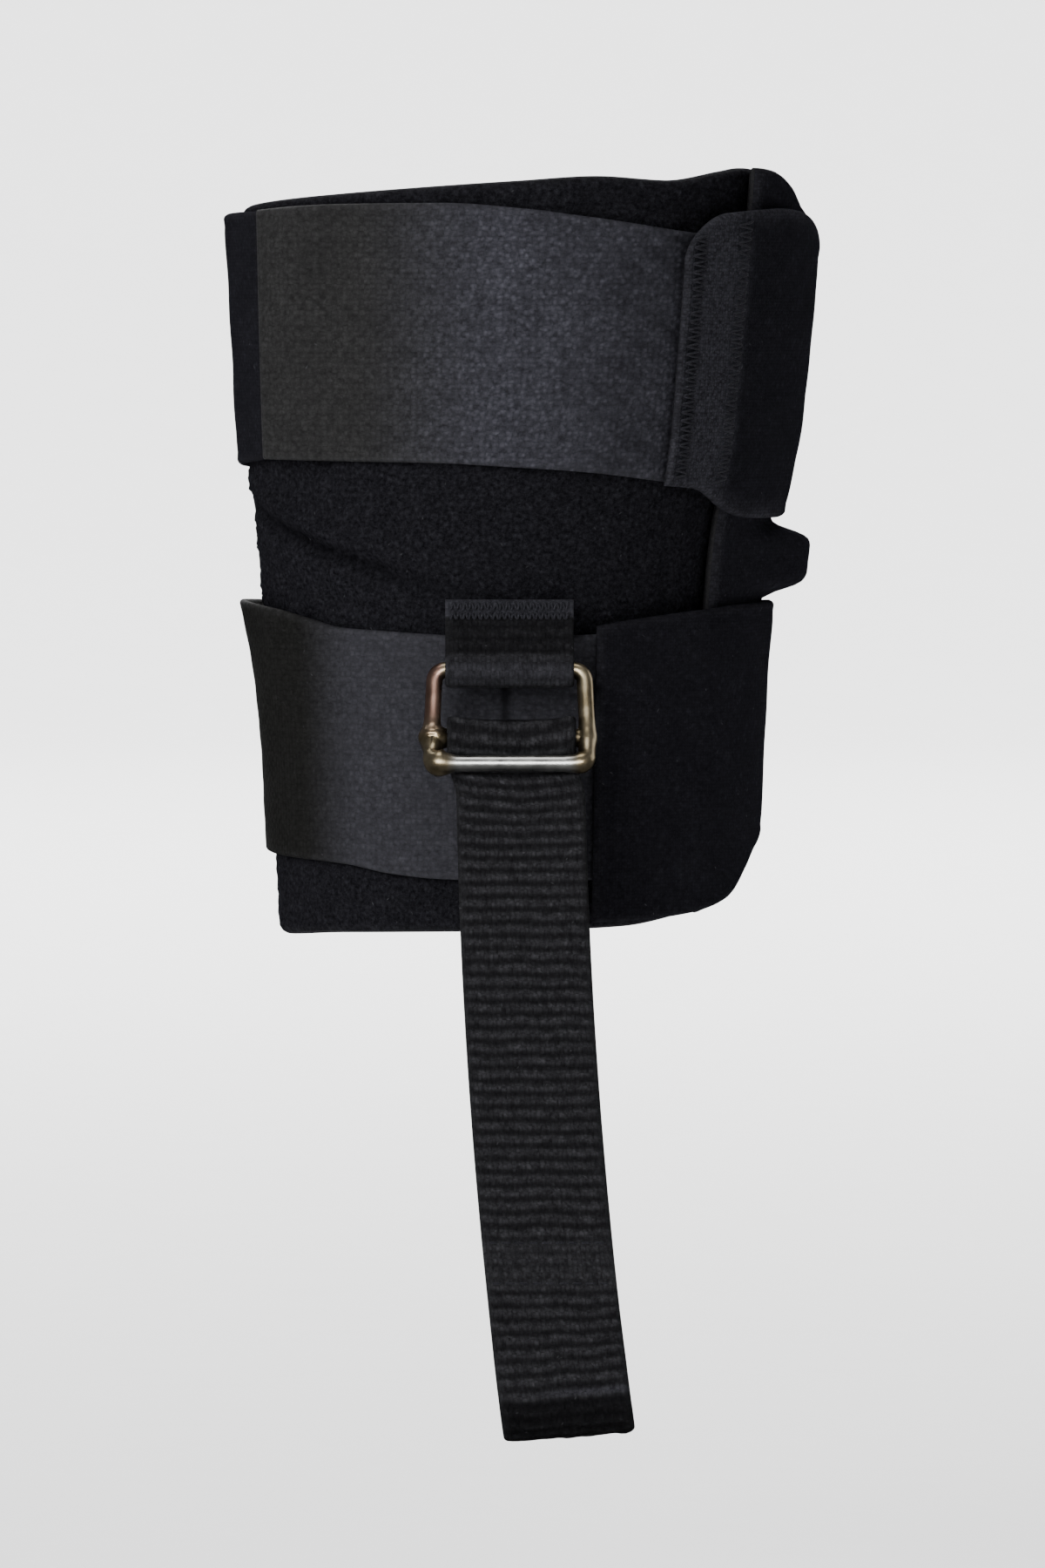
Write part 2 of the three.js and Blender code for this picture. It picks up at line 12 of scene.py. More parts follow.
import bpy
import numpy as np
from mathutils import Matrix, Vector

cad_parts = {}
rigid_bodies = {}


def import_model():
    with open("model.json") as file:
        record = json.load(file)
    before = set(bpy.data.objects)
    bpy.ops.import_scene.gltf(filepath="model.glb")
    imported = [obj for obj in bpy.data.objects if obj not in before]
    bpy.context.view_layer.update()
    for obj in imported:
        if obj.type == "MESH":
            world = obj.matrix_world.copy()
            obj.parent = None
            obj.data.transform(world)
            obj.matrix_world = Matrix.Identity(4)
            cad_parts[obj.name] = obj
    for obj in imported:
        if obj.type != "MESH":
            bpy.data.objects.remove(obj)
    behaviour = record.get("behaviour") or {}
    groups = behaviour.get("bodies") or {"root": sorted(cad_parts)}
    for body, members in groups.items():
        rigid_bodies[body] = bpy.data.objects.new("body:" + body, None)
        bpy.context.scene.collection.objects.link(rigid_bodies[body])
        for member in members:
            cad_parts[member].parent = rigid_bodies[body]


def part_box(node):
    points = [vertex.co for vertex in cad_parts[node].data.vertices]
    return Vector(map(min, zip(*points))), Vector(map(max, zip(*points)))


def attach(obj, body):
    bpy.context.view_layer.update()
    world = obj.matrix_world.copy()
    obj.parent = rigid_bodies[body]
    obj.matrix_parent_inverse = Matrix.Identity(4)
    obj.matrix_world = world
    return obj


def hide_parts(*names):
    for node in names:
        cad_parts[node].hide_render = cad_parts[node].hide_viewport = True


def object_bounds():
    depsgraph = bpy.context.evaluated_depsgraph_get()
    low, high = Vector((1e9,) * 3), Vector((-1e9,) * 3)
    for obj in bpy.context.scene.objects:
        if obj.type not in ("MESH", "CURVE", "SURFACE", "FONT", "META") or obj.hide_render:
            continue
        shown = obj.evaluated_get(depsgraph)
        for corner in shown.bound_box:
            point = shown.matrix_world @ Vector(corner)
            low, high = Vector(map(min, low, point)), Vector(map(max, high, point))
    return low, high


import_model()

MM = 0.001
cad_box = [list(corner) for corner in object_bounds()]
print("CAD box, mm:", [[round(v / MM, 1) for v in corner] for corner in cad_box])

# %% [markdown]
# ## The camera
# The picture was taken nearly level, from straight in front of the slider. A long lens from two
# metres keeps the splint's proportions, and its length is worked out from the splint's height, so
# the splint fills the frame.

# %% Camera
CAMERA_PLACE = Vector((0.0, -2.0, 0.035))
CAMERA_AIM = Vector((0.0015, 0.0, -0.036))
SENSOR = 36.0  # mm, along the long side of the image
FRAME_FILL = 0.8  # the splint's share of the image's height

camera_data = bpy.data.cameras.new("studio_camera")
camera = bpy.data.objects.new("studio_camera", camera_data)
bpy.context.scene.collection.objects.link(camera)
camera.location = CAMERA_PLACE
camera.rotation_euler = (CAMERA_AIM - CAMERA_PLACE).to_track_quat("-Z", "Y").to_euler()
splint_height = cad_box[1][2] - cad_box[0][2]
slider_depth = -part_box("strap_slider")[0][1]
camera_data.sensor_width = SENSOR
camera_data.lens = SENSOR * (-CAMERA_PLACE.y - slider_depth) * FRAME_FILL / splint_height
bpy.context.scene.camera = camera
print("lens, mm:", round(camera_data.lens))

# %% [markdown]
# ## Node tools
# A material is a tree of nodes. These helpers add a node, fill its inputs with values or with other
# nodes' sockets, and start a node group with named inputs and outputs. They keep each finish below
# to a few lines.

# %% Nodes and sums
def put(tree, socket, value):
    """Links a socket into an input, or sets the input to a plain value."""
    if isinstance(value, bpy.types.NodeSocket):
        tree.links.new(value, socket)
    else:
        socket.default_value = value


def add(tree, kind, inputs=(), **settings):
    """A shader node of a kind, with its settings, and its inputs by name."""
    made = tree.nodes.new("ShaderNode" + kind)
    for name, value in settings.items():
        setattr(made, name, value)
    for name, value in dict(inputs).items():
        put(tree, made.inputs[name], value)
    return made


def sums(tree, operation, *values):
    """One step of arithmetic."""
    made = add(tree, "Math", operation=operation)
    for socket, value in zip(made.inputs, values):
        put(tree, socket, value)
    return made.outputs[0]


def vector_sums(tree, operation, *values):
    """One step of arithmetic on vectors."""
    made = add(tree, "VectorMath", operation=operation)
    for socket, value in zip(made.inputs, values):
        put(tree, socket, value)
    return made.outputs[0]


print("node helpers: put, add, sums, vector_sums")

# %% Ranges and mixes
def ranged(tree, value, low, high, to_low=0.0, to_high=1.0, smooth=False):
    """A value moved from one range to another, held inside it."""
    made = add(tree, "MapRange", interpolation_type="SMOOTHSTEP" if smooth else "LINEAR")
    limits = {"From Min": low, "From Max": high, "To Min": to_low, "To Max": to_high}
    for name, number in limits.items():
        put(tree, made.inputs[name], number)
    put(tree, made.inputs["Value"], value)
    return made.outputs["Result"]


def mixed(tree, share, first, second):
    """A colour between two others."""
    made = add(tree, "Mix", data_type="RGBA")
    for socket, value in zip((made.inputs[0], made.inputs[6], made.inputs[7]), (share, first, second)):
        put(tree, socket, value)
    return made.outputs[2]


def between(tree, share, first, second):
    """A number between two others."""
    return add(tree, "Mix", {"Factor": share, "A": first, "B": second}).outputs["Result"]


print("node helpers: ranged, mixed, between")

# %% Groups and materials
def new_group(name, inputs, outputs):
    """An empty node group: inputs with their kinds and values, and outputs, which are all numbers."""
    tree = bpy.data.node_groups.new(name, "ShaderNodeTree")
    for label, value in inputs.items():
        kind = "NodeSocketVector" if value is None else "NodeSocketFloat"
        socket = tree.interface.new_socket(label, in_out="INPUT", socket_type=kind)
        if value is not None:
            socket.default_value = value
    for label in outputs:
        tree.interface.new_socket(label, in_out="OUTPUT", socket_type="NodeSocketFloat")
    start = tree.nodes.new("NodeGroupInput")
    end = tree.nodes.new("NodeGroupOutput")
    return tree, start.outputs, end.inputs


def place(tree, group, **inputs):
    """A node group placed in a material with its own values. Gives its outputs."""
    made = tree.nodes.new("ShaderNodeGroup")
    made.node_tree = group
    for name, value in inputs.items():
        put(tree, made.inputs[name.replace("_", " ").title()], value)
    return made.outputs


def new_material(name, **sockets):
    """A material with a Principled shader, and the sockets that are the same all over it."""
    material = bpy.data.materials.new(name)
    material.use_nodes = True
    shader = material.node_tree.nodes["Principled BSDF"]
    for label, value in sockets.items():
        shader.inputs[label.replace("_", " ").title().replace("Ior", "IOR")].default_value = value
    return material, material.node_tree, shader


print("group and material helpers: new_group, place, new_material")

# %% [markdown]
# ## Effects that the cloths share
# Every cloth here is yarn, and yarn shows in the same few ways: threads cross, fibres catch the
# light in tufts, single flecks of yarn or lint shine, and cut edges fray and fade. Each effect is a
# node group that is built once. All of them read the cloth's own coordinates in millimetres, which
# the meshes carry, so a yarn has its real size on every piece.

# %% Yarn weave
YARN_BENDS = dict(Scale=0.35, Detail=2.0)  # the slow noise that yarns wander by
YARN_TONES = dict(Scale=0.7, Detail=1.0)
YARNS_APART = 7.7  # so that the two sets of yarn draw their tones apart
TONE_RANGE = (0.3, 0.7)


def make_yarn_weave():
    """Two sets of yarn, over and under each other by turns: their height, and a tone for each yarn."""
    tree, give, take = new_group(
        "yarn_weave", {"Cloth": None, "Along": 0.8, "Across": 0.6, "Wander": 0.3}, ["Height", "Tone"]
    )
    wobble = add(tree, "TexNoise", {"Vector": give["Cloth"], **YARN_BENDS})
    centred = vector_sums(tree, "SUBTRACT", wobble.outputs["Color"], (0.5, 0.5, 0.5))
    drift = add(tree, "VectorMath", {"Scale": give["Wander"]}, operation="SCALE")
    put(tree, drift.inputs[0], centred)
    bent = vector_sums(tree, "ADD", give["Cloth"], drift.outputs[0])
    parts = add(tree, "SeparateXYZ", {"Vector": bent})
    along = sums(tree, "DIVIDE", parts.outputs["X"], give["Along"])
    across = sums(tree, "DIVIDE", parts.outputs["Y"], give["Across"])

    def crown(yarns):
        return sums(tree, "ABSOLUTE", sums(tree, "SINE", sums(tree, "MULTIPLY", yarns, math.pi)))

    cells = sums(tree, "ADD", sums(tree, "FLOOR", along), sums(tree, "FLOOR", across))
    over = sums(tree, "FLOORED_MODULO", cells, 2.0)
    layer = sums(tree, "MULTIPLY", over, YARNS_APART)
    spot = add(tree, "CombineXYZ", {"X": along, "Y": across, "Z": layer})
    chance = add(tree, "TexNoise", {"Vector": spot.outputs[0], **YARN_TONES})
    put(tree, take["Height"], between(tree, over, crown(along), crown(across)))
    put(tree, take["Tone"], ranged(tree, chance.outputs["Fac"], *TONE_RANGE))
    return tree


YARN_WEAVE = make_yarn_weave()
print("group:", YARN_WEAVE.name, len(YARN_WEAVE.nodes), "nodes")

# %% Fibre grain
COARSE_TUFTS = dict(Detail=3.0, Roughness=0.62)
FINE_TUFTS = dict(Detail=2.0, Roughness=0.7)
FINER = 3.3  # the fine noise's scale against the coarse one's
FINE_SHARE = 0.7
GRAIN_RANGE = (0.62, 1.12)


def make_fibre_grain():
    """Tufts of fibre in two sizes: their height, and a tone that is lighter on top."""
    tree, give, take = new_group("fibre_grain", {"Cloth": None, "Tuft": 1.0}, ["Height", "Tone"])
    scale = sums(tree, "DIVIDE", 1.0, give["Tuft"])
    coarse = add(tree, "TexNoise", {"Vector": give["Cloth"], "Scale": scale, **COARSE_TUFTS})
    finer = sums(tree, "MULTIPLY", scale, FINER)
    fine = add(tree, "TexNoise", {"Vector": give["Cloth"], "Scale": finer, **FINE_TUFTS})
    fine_part = sums(tree, "MULTIPLY", fine.outputs["Fac"], FINE_SHARE)
    both = sums(tree, "ADD", coarse.outputs["Fac"], fine_part)
    put(tree, take["Height"], sums(tree, "DIVIDE", both, 1 + FINE_SHARE))
    put(tree, take["Tone"], ranged(tree, both, *GRAIN_RANGE))
    return tree


FIBRE_GRAIN = make_fibre_grain()
print("group:", FIBRE_GRAIN.name, len(FIBRE_GRAIN.nodes), "nodes")

# %% Flecks
FLECK_LAYERS = ((0.6, 0.8), (2.1, 1.0), (1.3, 0.6))  # each layer's turn, and its share of the stretch
SPECK_FADE = (0.2, 1.0)  # where a fleck begins and ends to fade, in shares of its size


def make_flecks():
    """Layers of scattered flecks, each layer turned its own way. Chance picks which flecks show."""
    tree, give, take = new_group(
        "flecks", {"Cloth": None, "Spacing": 2.0, "Stretch": 1.0, "Size": 0.08, "Amount": 0.2}, ["Mask"]
    )
    scale = sums(tree, "DIVIDE", 1.0, give["Spacing"])
    total = None
    for turn, share in FLECK_LAYERS:
        spin = {"Vector": give["Cloth"], "Angle": turn}
        turned = add(tree, "VectorRotate", spin, rotation_type="Z_AXIS")
        stretch = sums(tree, "MULTIPLY", give["Stretch"], share)
        longer = add(tree, "CombineXYZ", {"X": stretch, "Y": 1.0, "Z": 1.0})
        drawn = vector_sums(tree, "DIVIDE", turned.outputs[0], longer.outputs[0])
        cells = add(tree, "TexVoronoi", {"Vector": drawn, "Scale": scale}, voronoi_dimensions="2D")
        inside = sums(tree, "DIVIDE", cells.outputs["Distance"], give["Size"])
        speck = ranged(tree, inside, *SPECK_FADE, 1.0, 0.0)
        draw = add(tree, "SeparateColor", {"Color": cells.outputs["Color"]})
        chosen = sums(tree, "LESS_THAN", draw.outputs["Red"], give["Amount"])
        layer = sums(tree, "MULTIPLY", speck, sums(tree, "MULTIPLY", chosen, draw.outputs["Green"]))
        total = layer if total is None else sums(tree, "MAXIMUM", total, layer)
    put(tree, take["Mask"], total)
    return tree


FLECKS = make_flecks()
print("group:", FLECKS.name, len(FLECKS.nodes), "nodes")

# %% Edge wear
WEAR_PATCHES = dict(Scale=0.7, Detail=4.0)
PATCH_RANGE = (0.3, 0.7, 0.25, 1.0)


def make_edge_wear():
    """A mask along cut edges, stronger in some places than in others."""
    tree, give, take = new_group("edge_wear", {"Cloth": None, "Edge": 9.0, "Width": 1.0}, ["Mask"])
    inward = sums(tree, "DIVIDE", give["Edge"], give["Width"])
    near = ranged(tree, inward, 0.0, 1.0, 1.0, 0.0, smooth=True)
    patch = add(tree, "TexNoise", {"Vector": give["Cloth"], **WEAR_PATCHES})
    patchy = ranged(tree, patch.outputs["Fac"], *PATCH_RANGE)
    put(tree, take["Mask"], sums(tree, "MULTIPLY", near, patchy))
    return tree


EDGE_WEAR = make_edge_wear()
print("group:", EDGE_WEAR.name, len(EDGE_WEAR.nodes), "nodes")

# %% [markdown]
# ## The cloth finishes
# The wrap's outside is brushed loop pile, its lining and the tabs are smooth knit, the straps are
# woven elastic, and the hanging strap is ribbed polyester webbing. All of them are a dark cloth
# with lighter yarn on it, so one function makes them, and the tables say how they differ. A zone on
# the mesh can change a finish in one place, and most zones here are painted shade or painted
# highlights. The mesh's ridge note paints shade into its grooves and light onto its crowns.

# %% What all cloths have in common
BLACK = (0.0, 0.0, 0.0, 1.0)
LINT_COLOUR = (0.07, 0.07, 0.075, 1.0)
LINT = dict(spacing=1.7, stretch=3.0, size=0.08, amount=0.03)
LINT_SHARE = 0.4
SHINE_SIZE = 0.45  # of a shining fleck, against the spacing of flecks
SHINE_GAIN = 2.2  # its colour against the cloth's light one
WEAR_WIDTH = 1.6  # mm in from a cut edge
HOLLOWS = (0.1, 0.8, 0.45, 1.0)  # painted shade: how much darker the yarn is between its crowns
DEEP_GROOVES = (0.0, 0.4, 0.35, 1.0)  # painted shade: how far the deepest grooves go towards black
ROUGHER, SMOOTHER = 0.06, 0.1  # the dark yarn is rougher, the lit yarn smoother
BUMP_STRENGTH = 0.8


def gray(value, blue=1.0):
    """A neutral colour, a little blue or a little warm."""
    return (value, value, value * blue, 1.0)


print("lint, mm apart:", LINT["spacing"], "and its colour:", LINT_COLOUR)

# %% One function for all cloths
def cloth_finish(
    name, plain, zoned, yarn, tuft, weave_share, flecks, wear, rough, gloss, relief, groove
):
    """A cloth with dark and light colours, outside its zone and in it.

    Yarn is the yarns' size along and across and how far they wander. Flecks are their spacing,
    stretch, amount and strength. Groove is how much of the colour is left in a groove of the mesh,
    as painted shade.
    """
    material, tree, shader = new_material(name, specular_ior_level=gloss, sheen_weight=0.0)
    cloth = add(tree, "Attribute", attribute_name="cloth").outputs["Vector"]
    edge, zone, ridge = (
        add(tree, "Attribute", attribute_name=label).outputs["Fac"]
        for label in ("edge", "zone", "ridge")
    )
    spacing, stretch, amount, strength = flecks
    weave = place(tree, YARN_WEAVE, cloth=cloth, along=yarn[0], across=yarn[1], wander=yarn[2])
    grain = place(tree, FIBRE_GRAIN, cloth=cloth, tuft=tuft)
    lint = place(tree, FLECKS, cloth=cloth, **LINT)
    shine = place(
        tree, FLECKS, cloth=cloth, spacing=spacing, stretch=stretch, size=SHINE_SIZE, amount=amount
    )
    worn = place(tree, EDGE_WEAR, cloth=cloth, edge=edge, width=WEAR_WIDTH)
    tones = between(tree, weave_share, grain["Tone"], weave["Tone"])
    heights = between(tree, weave_share, grain["Height"], weave["Height"])
    # The ridge note paints shade into the mesh's grooves and hollows, and light onto its crowns.
    grooves = ranged(tree, ridge, 0.0, 1.0, groove, 1.0)
    crowns = sums(tree, "MULTIPLY", ranged(tree, heights, *HOLLOWS), grooves)
    lit = sums(tree, "MULTIPLY", tones, crowns)
    shining = sums(tree, "MULTIPLY", shine["Mask"], sums(tree, "MULTIPLY", crowns, strength))
    shine_colour = tuple(SHINE_GAIN * v for v in plain[1][:3]) + (1.0,)
    colour = mixed(tree, lit, *plain)
    colour = mixed(tree, shining, colour, shine_colour)
    # The zone's colours are mostly painted shade and painted highlights.
    colour = mixed(tree, zone, colour, mixed(tree, lit, *zoned))
    colour = mixed(tree, ranged(tree, ridge, *DEEP_GROOVES), BLACK, colour)
    colour = mixed(tree, sums(tree, "MULTIPLY", worn["Mask"], wear), colour, LINT_COLOUR)
    colour = mixed(tree, sums(tree, "MULTIPLY", lint["Mask"], LINT_SHARE), colour, LINT_COLOUR)
    put(tree, shader.inputs["Base Color"], colour)
    roughness = ranged(tree, lit, 0.0, 1.0, rough + ROUGHER, rough - SMOOTHER)
    put(tree, shader.inputs["Roughness"], roughness)
    bump_inputs = {"Strength": BUMP_STRENGTH, "Distance": relief * MM, "Height": heights}
    bump = add(tree, "Bump", bump_inputs)
    put(tree, shader.inputs["Normal"], bump.outputs["Normal"])
    return material


shared_groups = (YARN_WEAVE, FIBRE_GRAIN, FLECKS, EDGE_WEAR)
print("groups in every cloth:", ", ".join(group.name for group in shared_groups))

# %% Pile, lining, smooth knit, elastic, webbing and thread
FINISHES = {
    "pile_cloth": dict(
        plain=(gray(0.002, 1.2), gray(0.0185, 1.2)), zoned=(gray(0.002), gray(0.02)),
        yarn=(0.9, 0.9, 0.8), tuft=0.6, weave_share=0.1, flecks=(1.1, 1.6, 0.4, 0.25),
        wear=0.08, rough=0.95, gloss=0.0, relief=0.4, groove=0.25,
    ),
    "lining_cloth": dict(
        plain=(gray(0.004, 1.1), gray(0.012, 1.1)), zoned=(gray(0.004), gray(0.012)),
        yarn=(0.5, 0.45, 0.1), tuft=0.6, weave_share=0.6, flecks=(1.2, 1.5, 0.1, 0.3),
        wear=0.10, rough=0.85, gloss=0.0, relief=0.12, groove=0.4,
    ),
    "foam_core": dict(
        plain=(gray(0.010, 1.1), gray(0.03, 1.08)), zoned=(gray(0.010), gray(0.03)),
        yarn=(0.5, 0.5, 0.4), tuft=0.35, weave_share=0.1, flecks=(1.0, 1.0, 0.1, 0.3),
        wear=0.0, rough=0.95, gloss=0.0, relief=0.2, groove=0.4,
    ),
    # in its zone, the elastic's colours are painted shade, at the upper strap's start
    "elastic_cloth": dict(
        plain=(gray(0.012, 1.22), gray(0.050, 1.22)), zoned=(gray(0.009, 1.0), gray(0.031, 1.0)),
        yarn=(1.0, 0.8, 0.25), tuft=0.85, weave_share=0.4, flecks=(1.05, 1.3, 0.4, 0.38),
        wear=0.08, rough=0.75, gloss=0.02, relief=0.16, groove=0.25,
    ),
    # in its zone: painted highlights on the wrap's end and on the upper tab's hem
    "smooth_cloth": dict(
        plain=(gray(0.0045, 1.22), gray(0.0125, 1.25)), zoned=(gray(0.006, 1.2), gray(0.034, 1.2)),
        yarn=(0.45, 0.5, 0.1), tuft=0.6, weave_share=0.6, flecks=(1.2, 1.5, 0.1, 0.3),
        wear=0.05, rough=0.8, gloss=0.0, relief=0.08, groove=0.3,
    ),
    # in its zone: the lighter sewn ends of the slider's tab, and painted highlights on its roll and a
    # rib
    "webbing_cloth": dict(
        plain=(gray(0.006, 1.10), gray(0.038, 1.10)), zoned=(gray(0.010, 1.2), gray(0.050, 1.2)),
        yarn=(1.05, 0.7, 0.15), tuft=0.5, weave_share=0.5, flecks=(0.8, 1.8, 0.1, 0.3),
        wear=0.05, rough=0.7, gloss=0.02, relief=0.14, groove=0.3,
    ),
    "sewing_thread": dict(
        plain=(gray(0.008, 1.2), gray(0.03, 1.2)), zoned=(gray(0.004), gray(0.014)),
        yarn=(0.35, 0.25, 0.05), tuft=0.25, weave_share=0.5, flecks=(0.5, 1.0, 0.1, 0.3),
        wear=0.0, rough=0.6, gloss=0.04, relief=0.05, groove=1.0,
    ),
}
# painted shade: the lower strap's darker start, and a dimmer copy of the elastic for all of it
SHADED_ELASTIC = (gray(0.005, 0.95), gray(0.014, 0.95))
SHADED_LOWER_ELASTIC = (gray(0.014, 1.18), gray(0.036, 1.18))
FINISHES["lower_elastic_cloth"] = dict(
    FINISHES["elastic_cloth"], plain=SHADED_LOWER_ELASTIC, zoned=SHADED_ELASTIC, flecks=(1.05, 1.3, 0.4, 0.2)
)
CLOTHS = {name: cloth_finish(name, **values) for name, values in FINISHES.items()}
print("cloths:", ", ".join(CLOTHS))

# %% [markdown]
# ## Plated wire
# The slider is steel wire with a warm nickel plate. It is nearly a mirror, so most of its look is
# the studio in it. The plate is brassy all over and rubbed bare on the lower bar, where webbing has
# slid over it, and a rosy reflection is painted on the left side wire. The object's own coordinates
# say where each of these is, so the wear stays on its bar, and two noises add cloudy polish and
# fine scuffs.

# %% Nickel plate
BRASSY = ((0.24, 0.19, 0.11, 1.0), (0.44, 0.37, 0.25, 1.0))
BARE = ((0.42, 0.42, 0.41, 1.0), (0.62, 0.62, 0.60, 1.0))
# a painted reflection: the rosy tint on the upper left side wire
ROSY_REFLECTION = (0.36, 0.20, 0.17, 1.0)
RUBBED_BELOW = (-28.8 * MM, -30.2 * MM)  # from brassy to bare, down to the lower bar
RUBBED_WITHIN = (10.0 * MM, 8.5 * MM)  # and in from its ends
ROSY_BEYOND = (-10.4 * MM, -11.2 * MM)  # the left side wire
ROSY_ABOVE = (-27.0 * MM, -23.5 * MM)  # clear of its joints
ROSY_REFLECTION_SHARE = 0.75
CLOUDS = dict(Scale=420.0, Detail=4.0)
SCUFFS = dict(Scale=2600.0, Detail=2.0)
CLOUD_RANGE = (0.35, 0.7)
POLISH_RANGE = (0.3, 0.7, 0.27, 0.38)  # the roughness of clear and cloudy plate
SCUFF_BUMP = dict(Strength=0.25, Distance=0.03 * MM)


def nickel_plate():
    """Warm nickel, brassy all over, with its rubbed part and a painted rosy reflection."""
    material, tree, shader = new_material("nickel_plate", metallic=1.0, coat_weight=0.0)
    place_on = add(tree, "TexCoord").outputs["Object"]
    cloudy = add(tree, "TexNoise", {"Vector": place_on, **CLOUDS})
    scuffs = add(tree, "TexNoise", {"Vector": place_on, **SCUFFS})
    tone = ranged(tree, cloudy.outputs["Fac"], *CLOUD_RANGE)
    spot = add(tree, "SeparateXYZ", {"Vector": place_on}).outputs
    from_middle = sums(tree, "ABSOLUTE", spot["X"])
    low = ranged(tree, spot["Z"], *RUBBED_BELOW)
    rubbed = sums(tree, "MULTIPLY", low, ranged(tree, from_middle, *RUBBED_WITHIN))
    # the painted rosy reflection on the upper part of the left side wire
    left = ranged(tree, spot["X"], *ROSY_BEYOND)
    rosy = sums(tree, "MULTIPLY", left, ranged(tree, spot["Z"], *ROSY_ABOVE, 0.0, ROSY_REFLECTION_SHARE))
    colour = mixed(tree, tone, *BRASSY)
    colour = mixed(tree, rubbed, colour, mixed(tree, tone, *BARE))
    colour = mixed(tree, rosy, colour, ROSY_REFLECTION)
    put(tree, shader.inputs["Base Color"], colour)
    put(tree, shader.inputs["Roughness"], ranged(tree, cloudy.outputs["Fac"], *POLISH_RANGE))
    bump = add(tree, "Bump", {"Height": scuffs.outputs["Fac"], **SCUFF_BUMP})
    put(tree, shader.inputs["Normal"], bump.outputs["Normal"])
    return material


NICKEL = nickel_plate()
print("metal:", NICKEL.name, len(NICKEL.node_tree.nodes), "nodes")

# %% [markdown]
# ## Shapes from tables
# The splint's pieces are strips that lie round one outline, so a strip is a row of sections, each
# at its own angle and height. A few measured rows describe each strip, and a smooth function fills
# in between them. The functions work on whole arrays at once, which is quick enough for dense
# meshes.

# %% Tables and smooth columns
def table(names, *rows):
    """Rows of numbers as a table with named columns."""
    return [dict(zip(names.split(), row)) for row in rows]


def column(rows, at, name):
    """A smooth function through one column of a table. It doesn't overshoot the rows."""
    ordered = sorted(rows, key=lambda row: row[at])
    spots = np.array([row[at] for row in ordered], float)
    values = np.array([row[name] for row in ordered], float)
    rates = np.diff(values) / np.diff(spots)
    slopes = np.concatenate([rates[:1], np.zeros(len(spots) - 2), rates[-1:]])
    for i in range(1, len(spots) - 1):
        if rates[i - 1] * rates[i] > 0:
            slopes[i] = 2 / (1 / rates[i - 1] + 1 / rates[i])

    def value(where):
        where = np.clip(where, spots[0], spots[-1])
        i = np.clip(np.searchsorted(spots, where, side="right") - 1, 0, len(spots) - 2)
        span = spots[i + 1] - spots[i]
        t = (where - spots[i]) / span
        level = values[i] * (1 + 2 * t) * (1 - t) ** 2 + values[i + 1] * t * t * (3 - 2 * t)
        lean = slopes[i] * t * (1 - t) ** 2 + slopes[i + 1] * t * t * (t - 1)
        return level + span * lean

    return value


half_way = column(table("x y", (0, 0), (1, 4), (2, 4)), "x", "y")(1.5)
print("a column between two equal rows:", half_way)

# %% Steps and waves
def smooth_step(where, low, high):
    """An eased step from 0 to 1 between two places."""
    t = np.clip((where - low) / (high - low), 0, 1)
    return t * t * (3 - 2 * t)


WAVE_SPREAD = (0.7, 1.4)  # the shortest and the longest wave, against the length asked for


def waves(u, v, length, count, seed):
    """A smooth random height of about unit size: plane waves of about one length, in all directions."""
    draw = np.random.default_rng(seed)
    total = np.zeros(np.broadcast(u, v).shape)
    for _ in range(count):
        way, phase = draw.uniform(0, 2 * np.pi, 2)
        size = length * draw.uniform(*WAVE_SPREAD)
        total = total + np.sin(2 * np.pi * (u * np.cos(way) + v * np.sin(way)) / size + phase)
    return total * math.sqrt(2 / count)


print("a smooth step at its quarter:", smooth_step(0.25, 0, 1))

# %% Layers and levels
GAP = 0.3  # mm of air between layers
WRAP_THICK = 2.4
ELASTIC_THICK = 1.3
TAB_THICK = 1.6
WRAP_LIFT = WRAP_THICK + GAP
ON_WRAP = 0.4  # lift of a strap that lies on the wrap
ON_ELASTIC = ON_WRAP + ELASTIC_THICK + GAP
ON_TAB = ON_WRAP + TAB_THICK + GAP
ON_LAP = WRAP_LIFT + ON_WRAP

WRAP_LEVELS = table(
    "z half_width front back shift",
    (-60, 35.2, 39.4, 44.0, -1.45),
    (-24, 36.7, 41.0, 45.5, -1.45),
    (-2, 38.3, 42.0, 46.5, -1.5),
    (20, 41.1, 43.5, 48.0, -0.25),
    (60, 43.7, 46.0, 51.0, 1.0),
)
print("a strap on the wrap, on the elastic and on the lap lifts, mm:", ON_WRAP, ON_ELASTIC, ON_LAP)

# %% The outline that everything lies round
FRONT_SKEW = 0.1  # the front's crest lies a little to the right
BACK_TAPER = 0.06
NEARBY = 1.0  # degrees to either side, for the outline's direction
LEVEL = {name: column(WRAP_LEVELS, "z", name) for name in ("half_width", "front", "back", "shift")}


def outline(angle, z):
    """The outside of the wrap's under layer at an angle and a height: X and Y in mm."""
    turn = np.radians(angle)
    sin, cos = np.sin(turn), np.cos(turn)
    width = LEVEL["half_width"](z)
    taper = 1 - BACK_TAPER * ((1 - cos) / 2) ** 2
    skew = np.where(cos > 0, FRONT_SKEW * width * sin * cos**2, 0)
    depth = np.where(cos > 0, LEVEL["front"](z), LEVEL["back"](z))
    return np.stack([LEVEL["shift"](z) + width * sin * taper, -depth * cos - skew], -1)


